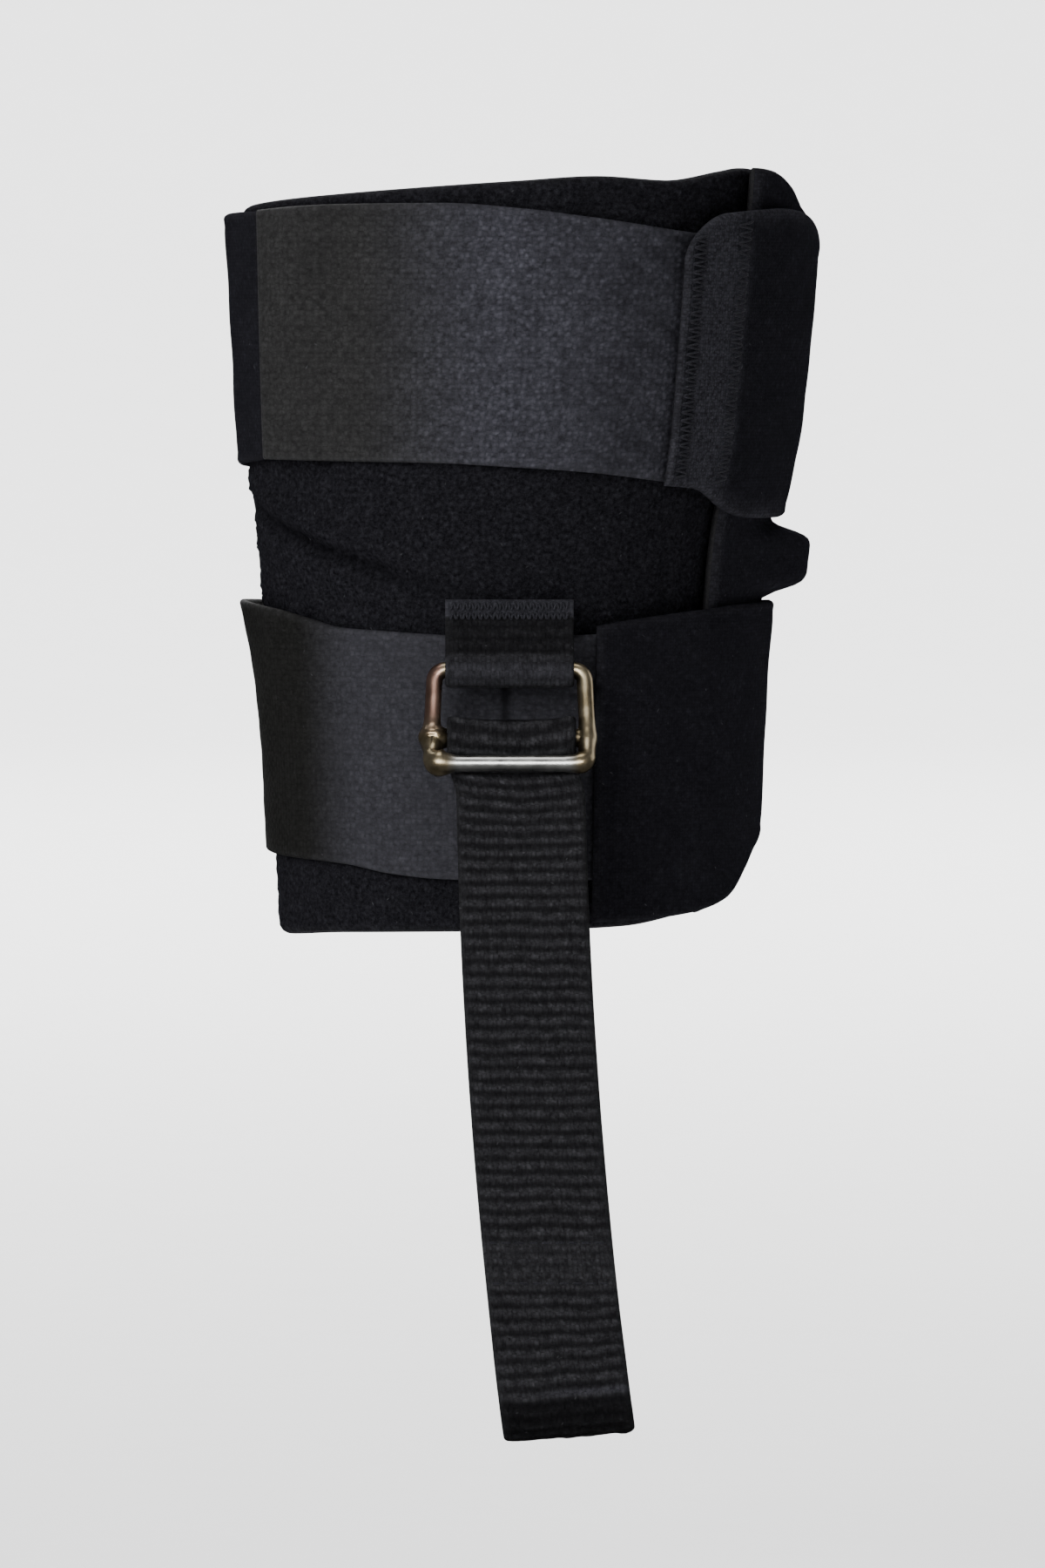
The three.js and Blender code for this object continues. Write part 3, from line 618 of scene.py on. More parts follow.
def wrap_point(angle, z, off):
    """A point that stands off that outline, in mm."""
    angle, z, off = np.broadcast_arrays(*(np.asarray(a, float) for a in (angle, z, off)))
    here = outline(angle, z)
    along = outline(angle + NEARBY, z) - outline(angle - NEARBY, z)
    along /= np.linalg.norm(along, axis=-1, keepdims=True)
    outward = np.stack([along[..., 1], -along[..., 0]], -1)
    return np.concatenate([here + off[..., None] * outward, z[..., None]], -1)


print("front and back at z 0, mm:", wrap_point(0, 0, 0).round(1), wrap_point(180, 0, 0).round(1))

# %% [markdown]
# ## From sections to meshes
# A strip's section is a flat ring with round edges: up the inner face and down the outer one.
# Joining the rings with quads gives a closed mesh, and a ladder of quads closes each end. The mesh
# also carries its cloth coordinates in millimetres and the distance to its nearest edge, which the
# finishes read.

# %% Sections and quads
EDGE_POINTS = 3  # points on each quarter of a round edge


def strip_ring(rows):
    """A strip's section: each point's share of the height, its reach past the flat, and its side."""
    turns = np.radians(90 * (np.arange(EDGE_POINTS) + 0.5) / EDGE_POINTS)
    ones = np.ones(EDGE_POINTS)
    share = np.concatenate([0 * ones, rows, ones])
    reach = np.concatenate([-np.cos(turns), 0 * rows, np.cos(turns[::-1])])
    side = -np.concatenate([np.sin(turns), 1 + 0 * rows, np.sin(turns[::-1])])
    return (
        np.concatenate([share, share[::-1]]),
        np.concatenate([reach, reach[::-1]]),
        np.concatenate([side, -side[::-1]]),
    )


def loft_faces(count, size, closed=False):
    """Quads between rings of equal size, and ladders of quads over the two ends."""
    grid = np.arange(count * size).reshape(count, size)
    rows = np.concatenate([grid, grid[:1]]) if closed else grid
    first, second = rows[:-1], rows[1:]
    sides = [first, second, np.roll(second, -1, 1), np.roll(first, -1, 1)]
    quads = [np.stack(sides, -1).reshape(-1, 4)]
    if not closed:
        step = np.arange(size // 2 - 1)
        for ring, order in ((grid[0], 1), (grid[-1], -1)):
            back = size - 1 - step
            ladder = np.stack([ring[step], ring[step + 1], ring[back - 1], ring[back]], -1)
            quads.append(ladder[:, ::order])
    return np.concatenate(quads)


print("points in a section of 10 rows:", len(strip_ring(np.linspace(0, 1, 10))[0]))

# %% Meshes with notes
def mesh_piece(name, points, faces, notes):
    """An object from points in mm and quads, facing out, with its notes as attributes of the points."""
    flat = points.reshape(-1, 3) * MM
    corners = flat[faces]
    fan = np.cross(corners[:, 1] - corners[:, 0], corners[:, 2] - corners[:, 0])
    fan += np.cross(corners[:, 2] - corners[:, 0], corners[:, 3] - corners[:, 0])
    if np.sum(fan * corners.mean(1)) < 0:
        faces = faces[:, ::-1]
    mesh = bpy.data.meshes.new(name)
    mesh.from_pydata(flat.tolist(), [], faces.tolist())
    for label, values in notes.items():
        values = np.ascontiguousarray(values, np.float32)
        vector = values.shape[-1] == 3 and values.ndim == points.ndim
        made = mesh.attributes.new(label, "FLOAT_VECTOR" if vector else "FLOAT", "POINT")
        made.data.foreach_set("vector" if vector else "value", values.ravel())
    mesh.shade_smooth()
    piece = bpy.data.objects.new(name, mesh)
    bpy.context.scene.collection.objects.link(piece)
    return piece


print("notes on a mesh: cloth, edge, zone and ridge")

# %% A piece's place in the splint
def settle(piece, slot, materials, *nodes):
    """Gives a piece its materials and its body, and hides the CAD nodes that it stands for. Its slot is
    not used.
    """
    for material in materials:
        piece.data.materials.append(material)
    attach(piece, "root")
    if nodes:
        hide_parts(*nodes)
    print(piece.name, "has", len(piece.data.polygons), "faces")
    return piece

# %% Stations and corners
TAB_CORNER = 7.0  # mm, the radius of a round corner
CORNER_POINTS = 9
LEVEL_STEPS = 900


def stations(start, finish, level, step, round_end):
    """Angles of a strip's sections, closer at its ends, with their runs and the whole length."""
    fine = np.linspace(start, finish, LEVEL_STEPS)
    track = outline(fine, np.full(LEVEL_STEPS, level))
    length = np.concatenate([[0], np.cumsum(np.linalg.norm(np.diff(track, axis=0), axis=1))])
    total = length[-1]
    quarter = 1 - np.cos(np.radians(np.linspace(0, 90, CORNER_POINTS)))
    near = np.concatenate([round_end * quarter, TAB_CORNER * quarter])
    spots = np.concatenate([np.linspace(0, total, int(total / step) + 2), near, total - near])
    spots = np.unique(spots.round(2))
    return np.interp(spots, length, fine), spots, total


def corner_inset(away):
    """How far a round corner draws a strip's edges in, a distance from its end."""
    inside = np.clip(TAB_CORNER - away, 0, TAB_CORNER)
    return TAB_CORNER - np.sqrt(TAB_CORNER**2 - inside**2)


insets = corner_inset(np.array([0, TAB_CORNER / 2]))
print("a round corner's inset at its end and its middle, mm:", insets.round(2))

# %% A strip of cloth
END_TAPER = 0.04  # of a strip's thickness, left at its very end
PLAIN_RIDGE = 0.7  # the ridge note of cloth without relief
RIDGE_SPAN = 0.6  # mm of relief from the darkest groove to the lightest crown


def strip(
    name, start, finish, top, bottom, inner, thick, rows, step,
    corners=(0, 0, 0), relief=None, zone=None, span=RIDGE_SPAN,
):
    """A strip of cloth from one angle to another, between a top and a bottom edge, on its inner face.

    The corners are 1 where round: the start's top one, both at the finish, the start's low one.
    """
    level = float(np.mean([top(np.array([start]))[0], bottom(np.array([start]))[0]]))
    angles, run, total = stations(start, finish, level, step, thick / 2)
    away = np.minimum(run, total - run)
    half = thick / 2 * np.sqrt(1 - (1 - np.clip(away / (thick / 2), END_TAPER, 1)) ** 2)
    at_start, at_finish = corner_inset(run), corner_inset(total - run)
    high = top(angles) - corners[0] * at_start - corners[1] * at_finish
    low = bottom(angles) + corners[-1] * at_start + corners[1] * at_finish
    share, reach, side = strip_ring(rows)
    tall = (high - low - 2 * half)[:, None]
    z = (low + half)[:, None] + share * tall + reach * half[:, None]
    turn, runs = (np.broadcast_to(a[:, None], z.shape) for a in (angles, run))
    edge = np.minimum(np.minimum(z - low[:, None], high[:, None] - z), away[:, None])
    off = inner(turn, z) + thick / 2 + side * half[:, None]
    raised = relief(runs, z, edge, turn) if relief else np.zeros(z.shape)
    points = wrap_point(turn, z, off + np.clip(side, 0, 1) * raised)
    notes = {"cloth": np.stack([runs, z, side * thick / 2 + 0 * z], -1), "edge": edge}
    notes["zone"] = zone(runs, total, edge) if zone else np.zeros(z.shape)
    notes["ridge"] = np.clip(PLAIN_RIDGE + raised / span, 0, 1)
    piece = mesh_piece(name, points, loft_faces(*z.shape), notes)
    piece["run"] = float(total)
    return piece


print("relief from a groove to a crown, mm:", RIDGE_SPAN)

# %% The inner face of a strap
FLARE_ROWS = "angle top bottom lift flare"
FLARE_POWER = 3  # keeps the flare near the top edge


def lifted(rows, thick):
    """A strap's edges, inner face and outer surface from its table of lift and flare."""
    names = ("top", "bottom", "lift", "flare")
    top, bottom, lift, flare = (column(rows, "angle", name) for name in names)

    def inner(angle, z):
        share = np.clip((z - bottom(angle)) / (top(angle) - bottom(angle)), 0, 1)
        return np.maximum(lift(angle), ON_WRAP) + flare(angle) * share**FLARE_POWER

    def surface(angle, z, rise=0.0):
        face = inner(np.asarray(angle, float), np.asarray(z, float))
        return wrap_point(angle, z, face + thick + rise)

    return top, bottom, inner, surface


print("columns of a strap's table:", FLARE_ROWS)

# %% [markdown]
# ## The wrap
# The wrap is a foam laminate: loop pile outside for the hook tabs to grip, a smooth lining inside,
# and foam between them that shows at the cut edges. It is one sheet that starts under itself on the
# right, goes once round and ends in a smooth facing. It creases on the left, and its lapped end
# buckles out between the straps. A cloth simulation would settle it anywhere, so its worn shape is
# written as functions of angle and height.

# %% The wrap's cut edges
WRAP_EDGES = table(
    "angle top bottom",
    (-180, 50.6, -49.5),
    (-135, 51.6, -56.0),
    (-100, 53.2, -58.5),
    (-80, 53.8, -58.9),
    (-45, 55.2, -57.9),
    (0, 57.3, -57.1),
    (16, 58.0, -56.9),
    (32, 57.4, -56.6),
    (46, 58.8, -55.6),
    (53, 59.4, -54.8),
    (59, 59.0, -53.6),
    (67, 56.9, -50.0),
    (75, 53.8, -46.6),
    (90, 52.0, -45.2),
    (135, 50.8, -46.5),
    (180, 50.6, -49.5),
)
WRAP_START, WRAP_END = 105.0, -307.5  # under the lap, and one turn further
LAP_FROM, LAP_TO = -234.0, -254.0  # where the wrap climbs over its own start
print("the wrap turns through", WRAP_START - WRAP_END, "degrees")

# %% Folds and the buckle
FOLD_ROWS = "from_angle from_z to_angle to_z height half_width"
WRAP_FOLDS = table(
    FOLD_ROWS,
    (-96, 13.2, -14, -2.6, 1.3, 2.5),
    (-84, 6.0, -16, -8.6, 0.7, 2.2),
)
WRAP_CREASE = table(FOLD_ROWS, (-92, 10.4, -10, -5.8, -1.2, 1.1))
LAP_BUCKLE = dict(angle=88, z=-1.0, height=6.9, half_angle=16, half_height=4.9)
BUCKLE_POWER = 6  # the buckle has a flat crest and steep sides


def fold_height(angle, z, folds):
    """The height of folds that run from one place to another and fade at both ends."""
    height = np.zeros(z.shape)
    for fold in folds:
        share = np.clip((angle - fold["from_angle"]) / (fold["to_angle"] - fold["from_angle"]), 0, 1)
        away = z - (fold["from_z"] + share * (fold["to_z"] - fold["from_z"]))
        fade = np.sqrt(np.abs(np.sin(np.pi * share)))
        height += fold["height"] * fade * np.exp(-((away / fold["half_width"]) ** 2))
    return height


def buckle_height(angle, z):
    """The height of the buckle in the lapped end."""
    across = ((angle - LAP_BUCKLE["angle"]) / LAP_BUCKLE["half_angle"]) ** 2
    up = ((z - LAP_BUCKLE["z"]) / LAP_BUCKLE["half_height"]) ** BUCKLE_POWER
    return LAP_BUCKLE["height"] * np.exp(-across - up)


def once_round(turn):
    """The same turn as an angle between -180 and 180."""
    return (turn + 180) % 360 - 180


def wrap_inner(turn, z):
    """How far the wrap's inner face stands off the outline."""
    rise = smooth_step(-turn, -LAP_FROM, -LAP_TO) * WRAP_LIFT - WRAP_THICK
    angle = once_round(turn)
    folded = fold_height(angle, z, WRAP_FOLDS)
    return rise + np.where(turn < LAP_TO, buckle_height(angle, z), folded)


print("buckle's crest, mm:", buckle_height(LAP_BUCKLE["angle"], LAP_BUCKLE["z"]))

# %% The wrap's relief
PILE_WAVE = 0.12  # mm, height of the pile's tufts
TUFTS = dict(length=1.9, count=40, seed=3)
BRUSHED = dict(length=5.5, count=20, seed=4)
BRUSHED_SHARE = 0.6
PILE_INSET = (0.2, 1.2)  # mm from an edge, where the pile begins
FACING_RUN = 260.0  # mm from the wrap's start to its smooth facing
FACING_BLUR = 1
FACING_FLAT = 0.85  # the share of the pile's relief that the facing is without
# painted highlight along the wrap's end: its strength and where it fades
END_HIGHLIGHT = 0.35
END_HIGHLIGHT_BLUR = (0.8, 2.4)  # mm from the wrap's end
CREASE_SPAN = 2.4  # mm of relief over which a crease's floor is painted dark as shade, and its rim light


def wrap_relief(run, z, edge, turn):
    """The pile's tufts, which the facing is nearly without, and the sharp crease on the left."""
    tufts = waves(run, z, **TUFTS) + BRUSHED_SHARE * waves(run, z, **BRUSHED)
    facing = smooth_step(run, FACING_RUN - FACING_BLUR, FACING_RUN + FACING_BLUR)
    crease = np.where(turn < LAP_FROM, 0, fold_height(once_round(turn), z, WRAP_CREASE))
    return PILE_WAVE * tufts * smooth_step(edge, *PILE_INSET) * (1 - FACING_FLAT * facing) + crease


def wrap_end_highlight(run, total, edge):
    """A painted highlight along the wrap's end."""
    return END_HIGHLIGHT * (1 - smooth_step(total - run, *END_HIGHLIGHT_BLUR))


print("tufts of the pile, mm high:", PILE_WAVE)

# %% The wrap's mesh
WRAP_STEP = 0.95  # mm between sections
WRAP_ROWS = np.concatenate([
    np.linspace(0, 0.39, 26),
    np.linspace(0.40, 0.69, 54),
    np.linspace(0.70, 1, 22),
])


def wrap_edge(name):
    """A cut edge of the wrap at any turn."""
    level = column(WRAP_EDGES, "angle", name)
    return lambda turn: level(once_round(turn))


wrap_sheet = strip(
    "wrap_sheet", WRAP_START, WRAP_END, wrap_edge("top"), wrap_edge("bottom"), wrap_inner,
    WRAP_THICK, WRAP_ROWS, WRAP_STEP, relief=wrap_relief, zone=wrap_end_highlight, span=CREASE_SPAN,
)
print("wrap length, mm:", round(wrap_sheet["run"], 1))

# %% The wrap's layers
PILE, LINING, FOAM, FACING = range(4)
CORE_HALF = 1.0  # mm to either side of the middle of the sheet, where the foam shows

cloth_at = np.empty(len(wrap_sheet.data.vertices) * 3, np.float32)
wrap_sheet.data.attributes["cloth"].data.foreach_get("vector", cloth_at)
corners = np.empty(len(wrap_sheet.data.polygons) * 4, np.int32)
wrap_sheet.data.polygons.foreach_get("vertices", corners)
face_at = cloth_at.reshape(-1, 3)[corners.reshape(-1, 4)].mean(1)
outside = np.where(face_at[:, 0] > FACING_RUN, FACING, PILE)
within = np.where(face_at[:, 2] < -CORE_HALF, LINING, FOAM)
kind = np.where(face_at[:, 2] > CORE_HALF, outside, within)
wrap_sheet.data.polygons.foreach_set("material_index", kind.astype(np.int32))
wrap_cloths = [CLOTHS[name] for name in ("pile_cloth", "lining_cloth", "foam_core", "smooth_cloth")]
settle(wrap_sheet, "pile", wrap_cloths, "ankle_wrap")

# %% [markdown]
# ## The straps and tabs
# Two elastic straps, about forty millimetres wide, pull across the front. Each is sewn to a black
# tab on the right and to a hook tab on the left, and the tabs grip the pile. They are strips from
# tables like the wrap, each lying on what is under it. The elastic lies tight, so it gets only a
# slow ripple, and the tabs get their hems.

# %% Upper strap and its tabs
UPPER_STRAP = table(
    FLARE_ROWS,
    (-60, 53.0, 14.7, ON_TAB, 0),
    (-48, 53.5, 14.6, ON_TAB, 0),
    (-39, 53.8, 14.5, ON_WRAP, 0),
    (-15, 53.9, 14.3, ON_WRAP, 0),
    (3, 52.9, 13.6, ON_WRAP, 0),
    (10, 52.2, 13.3, ON_WRAP, 0),
    (20, 51.2, 12.7, ON_WRAP, 0),
    (32, 49.9, 11.7, ON_WRAP, 0),
    (46, 48.7, 10.6, ON_WRAP, 0),
)
UPPER_STRAP_TAB = table(
    FLARE_ROWS,
    (34, 51.4, 10.8, ON_ELASTIC, 0.5),
    (42, 52.3, 10.3, ON_ELASTIC, 0.5),
    (50, 52.9, 7.0, ON_LAP, 0.4),
    (58, 53.2, 5.8, ON_LAP, 0.4),
    (68, 52.6, 5.6, ON_LAP, 0.3),
    (76, 50.9, 5.6, ON_LAP, 0.2),
    (84, 48.3, 5.7, ON_LAP, 0.1),
    (92, 46.4, 5.8, ON_LAP, 0),
    (107, 45.0, 6.4, ON_LAP, 0),
    (128, 44.4, 7.6, ON_WRAP, 0),
    (142, 44.0, 8.0, ON_WRAP, 0),
)
UPPER_HOOK_TAB = table(
    FLARE_ROWS,
    (-51, 52.8, 15.4, ON_WRAP, 0),
    (-68, 52.8, 14.4, ON_WRAP, 0.2),
    (-90, 52.4, 13.6, 0.8, 0.8),
    (-112, 50.6, 12.8, 0.6, 0.4),
    (-136, 48.8, 11.8, ON_WRAP, 0),
)
print("upper strap, rows:", len(UPPER_STRAP), "tabs, rows:", len(UPPER_STRAP_TAB), len(UPPER_HOOK_TAB))

# %% Relief of the elastic
CORD_PITCH, CORD_HEIGHT = 1.35, 0.03  # mm, the rubber cords along the elastic
RIPPLE = dict(length=14, count=16, seed=8)
RIPPLE_HEIGHT = 0.025
ELASTIC_INSET = (0.2, 1.0)  # mm from an edge, where the ripple begins
SHADE_DIP = 0.19  # mm that the elastic is thinner near the tab that it is sewn to, a dip that paints shade there
SHADE_DIP_ALONG = (46, 62)  # mm along it


def elastic_ripple(run, z, edge, turn):
    """A slow ripple, and the rubber cords that the elastic is woven round."""
    cords = CORD_HEIGHT * np.cos(2 * np.pi * z / CORD_PITCH)
    return (RIPPLE_HEIGHT * waves(run, z, **RIPPLE) + cords) * smooth_step(edge, *ELASTIC_INSET)


def upper_ripple(run, z, edge, turn):
    """The same ripple. The elastic is a little thinner towards its sewn tab, and that dip paints shade.
    """
    return elastic_ripple(run, z, edge, turn) - SHADE_DIP * smooth_step(run, *SHADE_DIP_ALONG)


def near_start(length, blur):
    """A zone at the start of a strip."""
    return lambda run, total, edge: 1 - smooth_step(run, length - blur, length + blur)


print("cords in the elastic's width:", round(40 / CORD_PITCH))

# %% Relief of the tabs
HEM_ROWS = (2.0, 9.2)  # mm from the tab's end to its two zigzag rows
HEM_WIDTH = 11.0
PUFF_RISE, PUFF_FALL = (0.3, 3.0), (HEM_WIDTH - 2, HEM_WIDTH + 1)
HEM_END = (HEM_WIDTH - 0.8, HEM_WIDTH + 0.8)
HEM_PUFF, HEM_SUNK, HEM_RIM, HEM_WAVE = 0.22, 0.2, 0.12, 0.05  # mm
HEM_WAVES = dict(length=11, count=14, seed=9)
HEM_RIM_AT, HEM_RIM_HALF = 2.2, 0.8  # mm in from the edge
# painted highlight along the tab's rim: its strength, and where it fades across and along
RIM_HIGHLIGHT = 0.7
RIM_BLUR = (1.6, 2.6)
RIM_FADE = (20, 45)  # mm along the tab
TAB_WAVES = dict(length=12, count=14, seed=10)
TAB_WAVE, TAB_RIM = 0.06, 0.1
TAB_RIM_AT, TAB_RIM_HALF = 2.0, 0.7


def hem_relief(run, z, edge, turn):
    """A padded end with its two rows of stitches sunk in, and a pressed rim."""
    sunk = sum(np.exp(-((run - row) ** 2)) for row in HEM_ROWS)
    puffed = smooth_step(run, *PUFF_RISE) * (1 - smooth_step(run, *PUFF_FALL))
    rim = np.exp(-(((edge - HEM_RIM_AT) / HEM_RIM_HALF) ** 2))
    return HEM_PUFF * puffed - HEM_SUNK * sunk - HEM_RIM * rim + HEM_WAVE * waves(run, z, **HEM_WAVES)


def hem_highlight(run, total, edge):
    """A painted highlight on the stitched end of the tab, and on a rim that runs on from it."""
    rim = (1 - smooth_step(edge, *RIM_BLUR)) * (1 - smooth_step(run, *RIM_FADE))
    return np.maximum(1 - smooth_step(run, *HEM_END), RIM_HIGHLIGHT * rim)


def tab_relief(run, z, edge, turn):
    """A slow wave and a pressed rim."""
    rim = np.exp(-(((edge - TAB_RIM_AT) / TAB_RIM_HALF) ** 2))
    return TAB_WAVE * waves(run, z, **TAB_WAVES) - TAB_RIM * rim


print("hem, mm:", HEM_WIDTH, "with rows at", HEM_ROWS)

# %% The upper pieces
BAND_STEP = 0.8  # mm between sections
BAND_ROWS = np.linspace(0, 1, 36)
ROUND_END, ROUND_BUT_LOW = (0, 1, 0), (1, 1, 0)  # which corners of a tab are round
UPPER_SHADE = dict(length=31, blur=13)  # mm at the elastic's start, where shade is painted into its colour


def band(name, rows, thick, corners=(0, 0, 0), relief=None, zone=None):
    """A strap or tab from its table."""
    top, bottom, inner, _ = lifted(rows, thick)
    start, finish = rows[0]["angle"], rows[-1]["angle"]
    return strip(
        name, start, finish, top, bottom, inner, thick, BAND_ROWS, BAND_STEP, corners, relief, zone
    )


upper_elastic = band(
    "upper_elastic", UPPER_STRAP, ELASTIC_THICK, relief=upper_ripple, zone=near_start(**UPPER_SHADE)
)
upper_tab = band("upper_tab", UPPER_STRAP_TAB, TAB_THICK, ROUND_BUT_LOW, hem_relief, hem_highlight)
upper_hook = band("upper_hook", UPPER_HOOK_TAB, TAB_THICK, ROUND_END, tab_relief)
settle(upper_elastic, "elastic", [CLOTHS["elastic_cloth"]], "upper_strap")
settle(upper_tab, "smooth", [CLOTHS["smooth_cloth"]], "upper_strap_tab")
settle(upper_hook, "smooth", [CLOTHS["smooth_cloth"]], "upper_hook_tab")

# %% [markdown]
# ## The lower strap
# The lower strap is the same elastic, with painted shade in its colours and darker still at its
# start. It is sewn to its hook tab round the left side, and its other end lies under its black tab,
# just past the webbing, where a sewn line crosses it. Nothing pulls on its top edge at the left, so
# it stands off there, which the table's last column says. The upper strap's table could be moved
# down for it, but the real strap is worn differently, so it has its own.

# %% Lower strap and its tabs
LOWER_STRAP = table(
    FLARE_ROWS,
    (-128, -9.4, -46.4, ON_TAB, 0),
    (-113, -8.0, -46.2, ON_TAB, 0.3),
    (-103, -7.4, -46.2, ON_WRAP, 1.4),
    (-90, -7.2, -46.2, ON_WRAP, 2.1),
    (-64, -8.2, -46.6, ON_WRAP, 0.7),
    (-50, -9.6, -46.9, ON_WRAP, 0.2),
    (-40, -10.9, -47.3, ON_WRAP, 0),
    (-28, -11.3, -48.5, ON_WRAP, 0),
    (-14, -11.8, -49.2, ON_WRAP, 0),
    (0, -12.0, -49.3, ON_WRAP, 0),
    (28, -11.6, -49.3, ON_WRAP, 0),
)
LOWER_STRAP_TAB = table(
    FLARE_ROWS,
    (20.8, -10.4, -55.7, ON_ELASTIC, 0),
    (30, -9.4, -55.6, ON_ELASTIC, 0),
    (42, -8.5, -55.1, ON_ELASTIC, 0),
    (50, -8.0, -54.3, ON_LAP, 0),
    (58, -7.6, -53.1, ON_LAP, 0),
    (63, -7.5, -51.6, ON_LAP, 0),
    (68, -7.4, -49.0, ON_LAP, 0),
    (75, -7.3, -45.8, ON_LAP, 0),
    (90, -7.3, -43.8, ON_LAP, 0),
    (107, -7.8, -43.8, ON_LAP, 0),
    (128, -8.6, -44.4, ON_WRAP, 0),
    (142, -9.2, -45.0, ON_WRAP, 0),
)
LOWER_HOOK_TAB = table(
    FLARE_ROWS,
    (-116, -10.4, -46.0, ON_WRAP, 0),
    (-140, -11.2, -46.4, ON_WRAP, 0),
    (-170, -12.4, -46.6, ON_WRAP, 0),
)
print("lower strap, rows:", len(LOWER_STRAP), "tabs, rows:", len(LOWER_STRAP_TAB), len(LOWER_HOOK_TAB))

# %% The lower pieces
SEAM_ANGLE, SEAM_HALF_ANGLE, SEAM_DEPTH = 0.8, 1.2, 0.4
# mm of the lower elastic's start, where shade is painted into its colour
LOWER_SHADE = dict(length=60, blur=7)


def seamed_ripple(run, z, edge, turn):
    """The same ripple with a sewn line across the strap, under the webbing."""
    seam = np.exp(-(((turn - SEAM_ANGLE) / SEAM_HALF_ANGLE) ** 2))
    return elastic_ripple(run, z, edge, turn) - SEAM_DEPTH * seam


lower_elastic = band(
    "lower_elastic", LOWER_STRAP, ELASTIC_THICK, relief=seamed_ripple, zone=near_start(**LOWER_SHADE)
)
lower_tab = band("lower_tab", LOWER_STRAP_TAB, TAB_THICK, ROUND_END, tab_relief)
lower_hook = band("lower_hook", LOWER_HOOK_TAB, TAB_THICK, ROUND_END, tab_relief)
settle(lower_elastic, "elastic", [CLOTHS["lower_elastic_cloth"]], "lower_strap")
settle(lower_tab, "smooth", [CLOTHS["smooth_cloth"]], "lower_strap_tab")
settle(lower_hook, "smooth", [CLOTHS["smooth_cloth"]], "lower_hook_tab")

# %% [markdown]
# ## The webbing
# Two lengths of the same webbing carry the load. A short folded tab holds the slider's top bar, and
# the long strap turns over the middle bar, runs behind the lower one and down to its end loop.
# Webbing bends one way only, so each length is a path in the plane of forward and up, swept flat
# across. Its ribs are real relief.

# %% Paths in the plane of forward and up
WEBBING_WIDTH = 19.6
WEBBING_THICK = 1.2
WIRE_RADIUS = 1.25
TOP_BAR_X, TOP_BAR = -0.5, np.array([46.35, -17.0])
UPPER_SLOT = dict(length=10.8, tilt=18)  # mm from bar to bar, and degrees forward of straight down
LOWER_SLOT = dict(length=5.6, tilt=48)
LAYER_SPACING = WEBBING_THICK + GAP
BEND = WIRE_RADIUS + GAP + WEBBING_THICK / 2  # radius of webbing round a bar
ARC_STEP = 3  # degrees


def heading(degrees):
    """A step of one in a direction: 0 is forward and 90 is up."""
    return np.array([math.cos(math.radians(degrees)), math.sin(math.radians(degrees))])


def arc(centre, radius, start, finish):
    """Points of an arc, both ends included."""
    turns = np.linspace(start, finish, max(2, int(abs(finish - start) / ARC_STEP)))
    return [centre + radius * heading(turn) for turn in turns]


def even_path(points, step, blur):
    """The same path with points a step apart, its corners eased over a length."""
    line = np.array(points)
    length = np.concatenate([[0], np.cumsum(np.linalg.norm(np.diff(line, axis=0), axis=1))])
    spots = np.linspace(0, length[-1], int(length[-1] / step) + 1)
    even = np.stack([np.interp(spots, length, line[:, i]) for i in (0, 1)], -1)
    reach = max(1, int(blur / step / 2))
    padded = np.concatenate([
        2 * even[:1] - even[reach:0:-1],
        even,
        2 * even[-1:] - even[-2 : -reach - 2 : -1],
    ])
    window = np.ones(2 * reach + 1) / (2 * reach + 1)
    eased = [np.convolve(padded[:, i], window, "valid") for i in (0, 1)]
    return np.stack(eased, -1), spots


MIDDLE_BAR = TOP_BAR + UPPER_SLOT["length"] * heading(UPPER_SLOT["tilt"] - 90)
LOWER_BAR = MIDDLE_BAR + LOWER_SLOT["length"] * heading(LOWER_SLOT["tilt"] - 90)
print("bars, mm forward and up:", TOP_BAR, MIDDLE_BAR.round(2), LOWER_BAR.round(2))

# %% Ribs
RIB_PITCH = 2.1
RIB_HEIGHT = 0.32
RIB_POWER = 2.2  # above one, the ribs are narrower than the grooves
RIB_DRIFT = 0.05  # of a pitch
DRIFT_WAVES = dict(length=8, count=14, seed=21)
DRIFT_STRETCH = 0.3  # the ribs drift more slowly along the webbing than across it
FIRM_WAVES = dict(length=3.4, count=14, seed=22)
FIRM_MEAN, FIRM_SWING = 0.8, 0.3
FIRM_RANGE = (0.25, 1.15)
SELVEDGE = (0.1, 1.1)  # mm from the edge, where the ribs begin


def ribs(run, across, flat):
    """Round cords across the webbing, a little uneven, pressed flat where it is sewn."""
    drift = RIB_DRIFT * waves(run * DRIFT_STRETCH, across, **DRIFT_WAVES)
    crown = (0.5 - 0.5 * np.cos(2 * np.pi * (run / RIB_PITCH + drift))) ** RIB_POWER
    firm = np.clip(FIRM_MEAN + FIRM_SWING * waves(run, across, **FIRM_WAVES), *FIRM_RANGE)
    inside = smooth_step(WEBBING_WIDTH / 2 - np.abs(across), *SELVEDGE)
    return RIB_HEIGHT * crown * firm * inside * flat


print("ribs in 100 mm:", round(100 / RIB_PITCH))

# %% Webbing along a path
WEBBING_ROWS = 26
PATH_STEP = 0.28  # mm
PATH_BLUR = 1.0  # mm over which corners of the path are eased
WEBBING_END = 0.05  # of its thickness, left at the webbing's very end
GROOVE_TONE, CROWN_TONE, SEWN_TONE = 0.2, 0.9, 0.25  # the ridge note, and what it gains: painted shade in grooves, painted light on crowns, more where flat


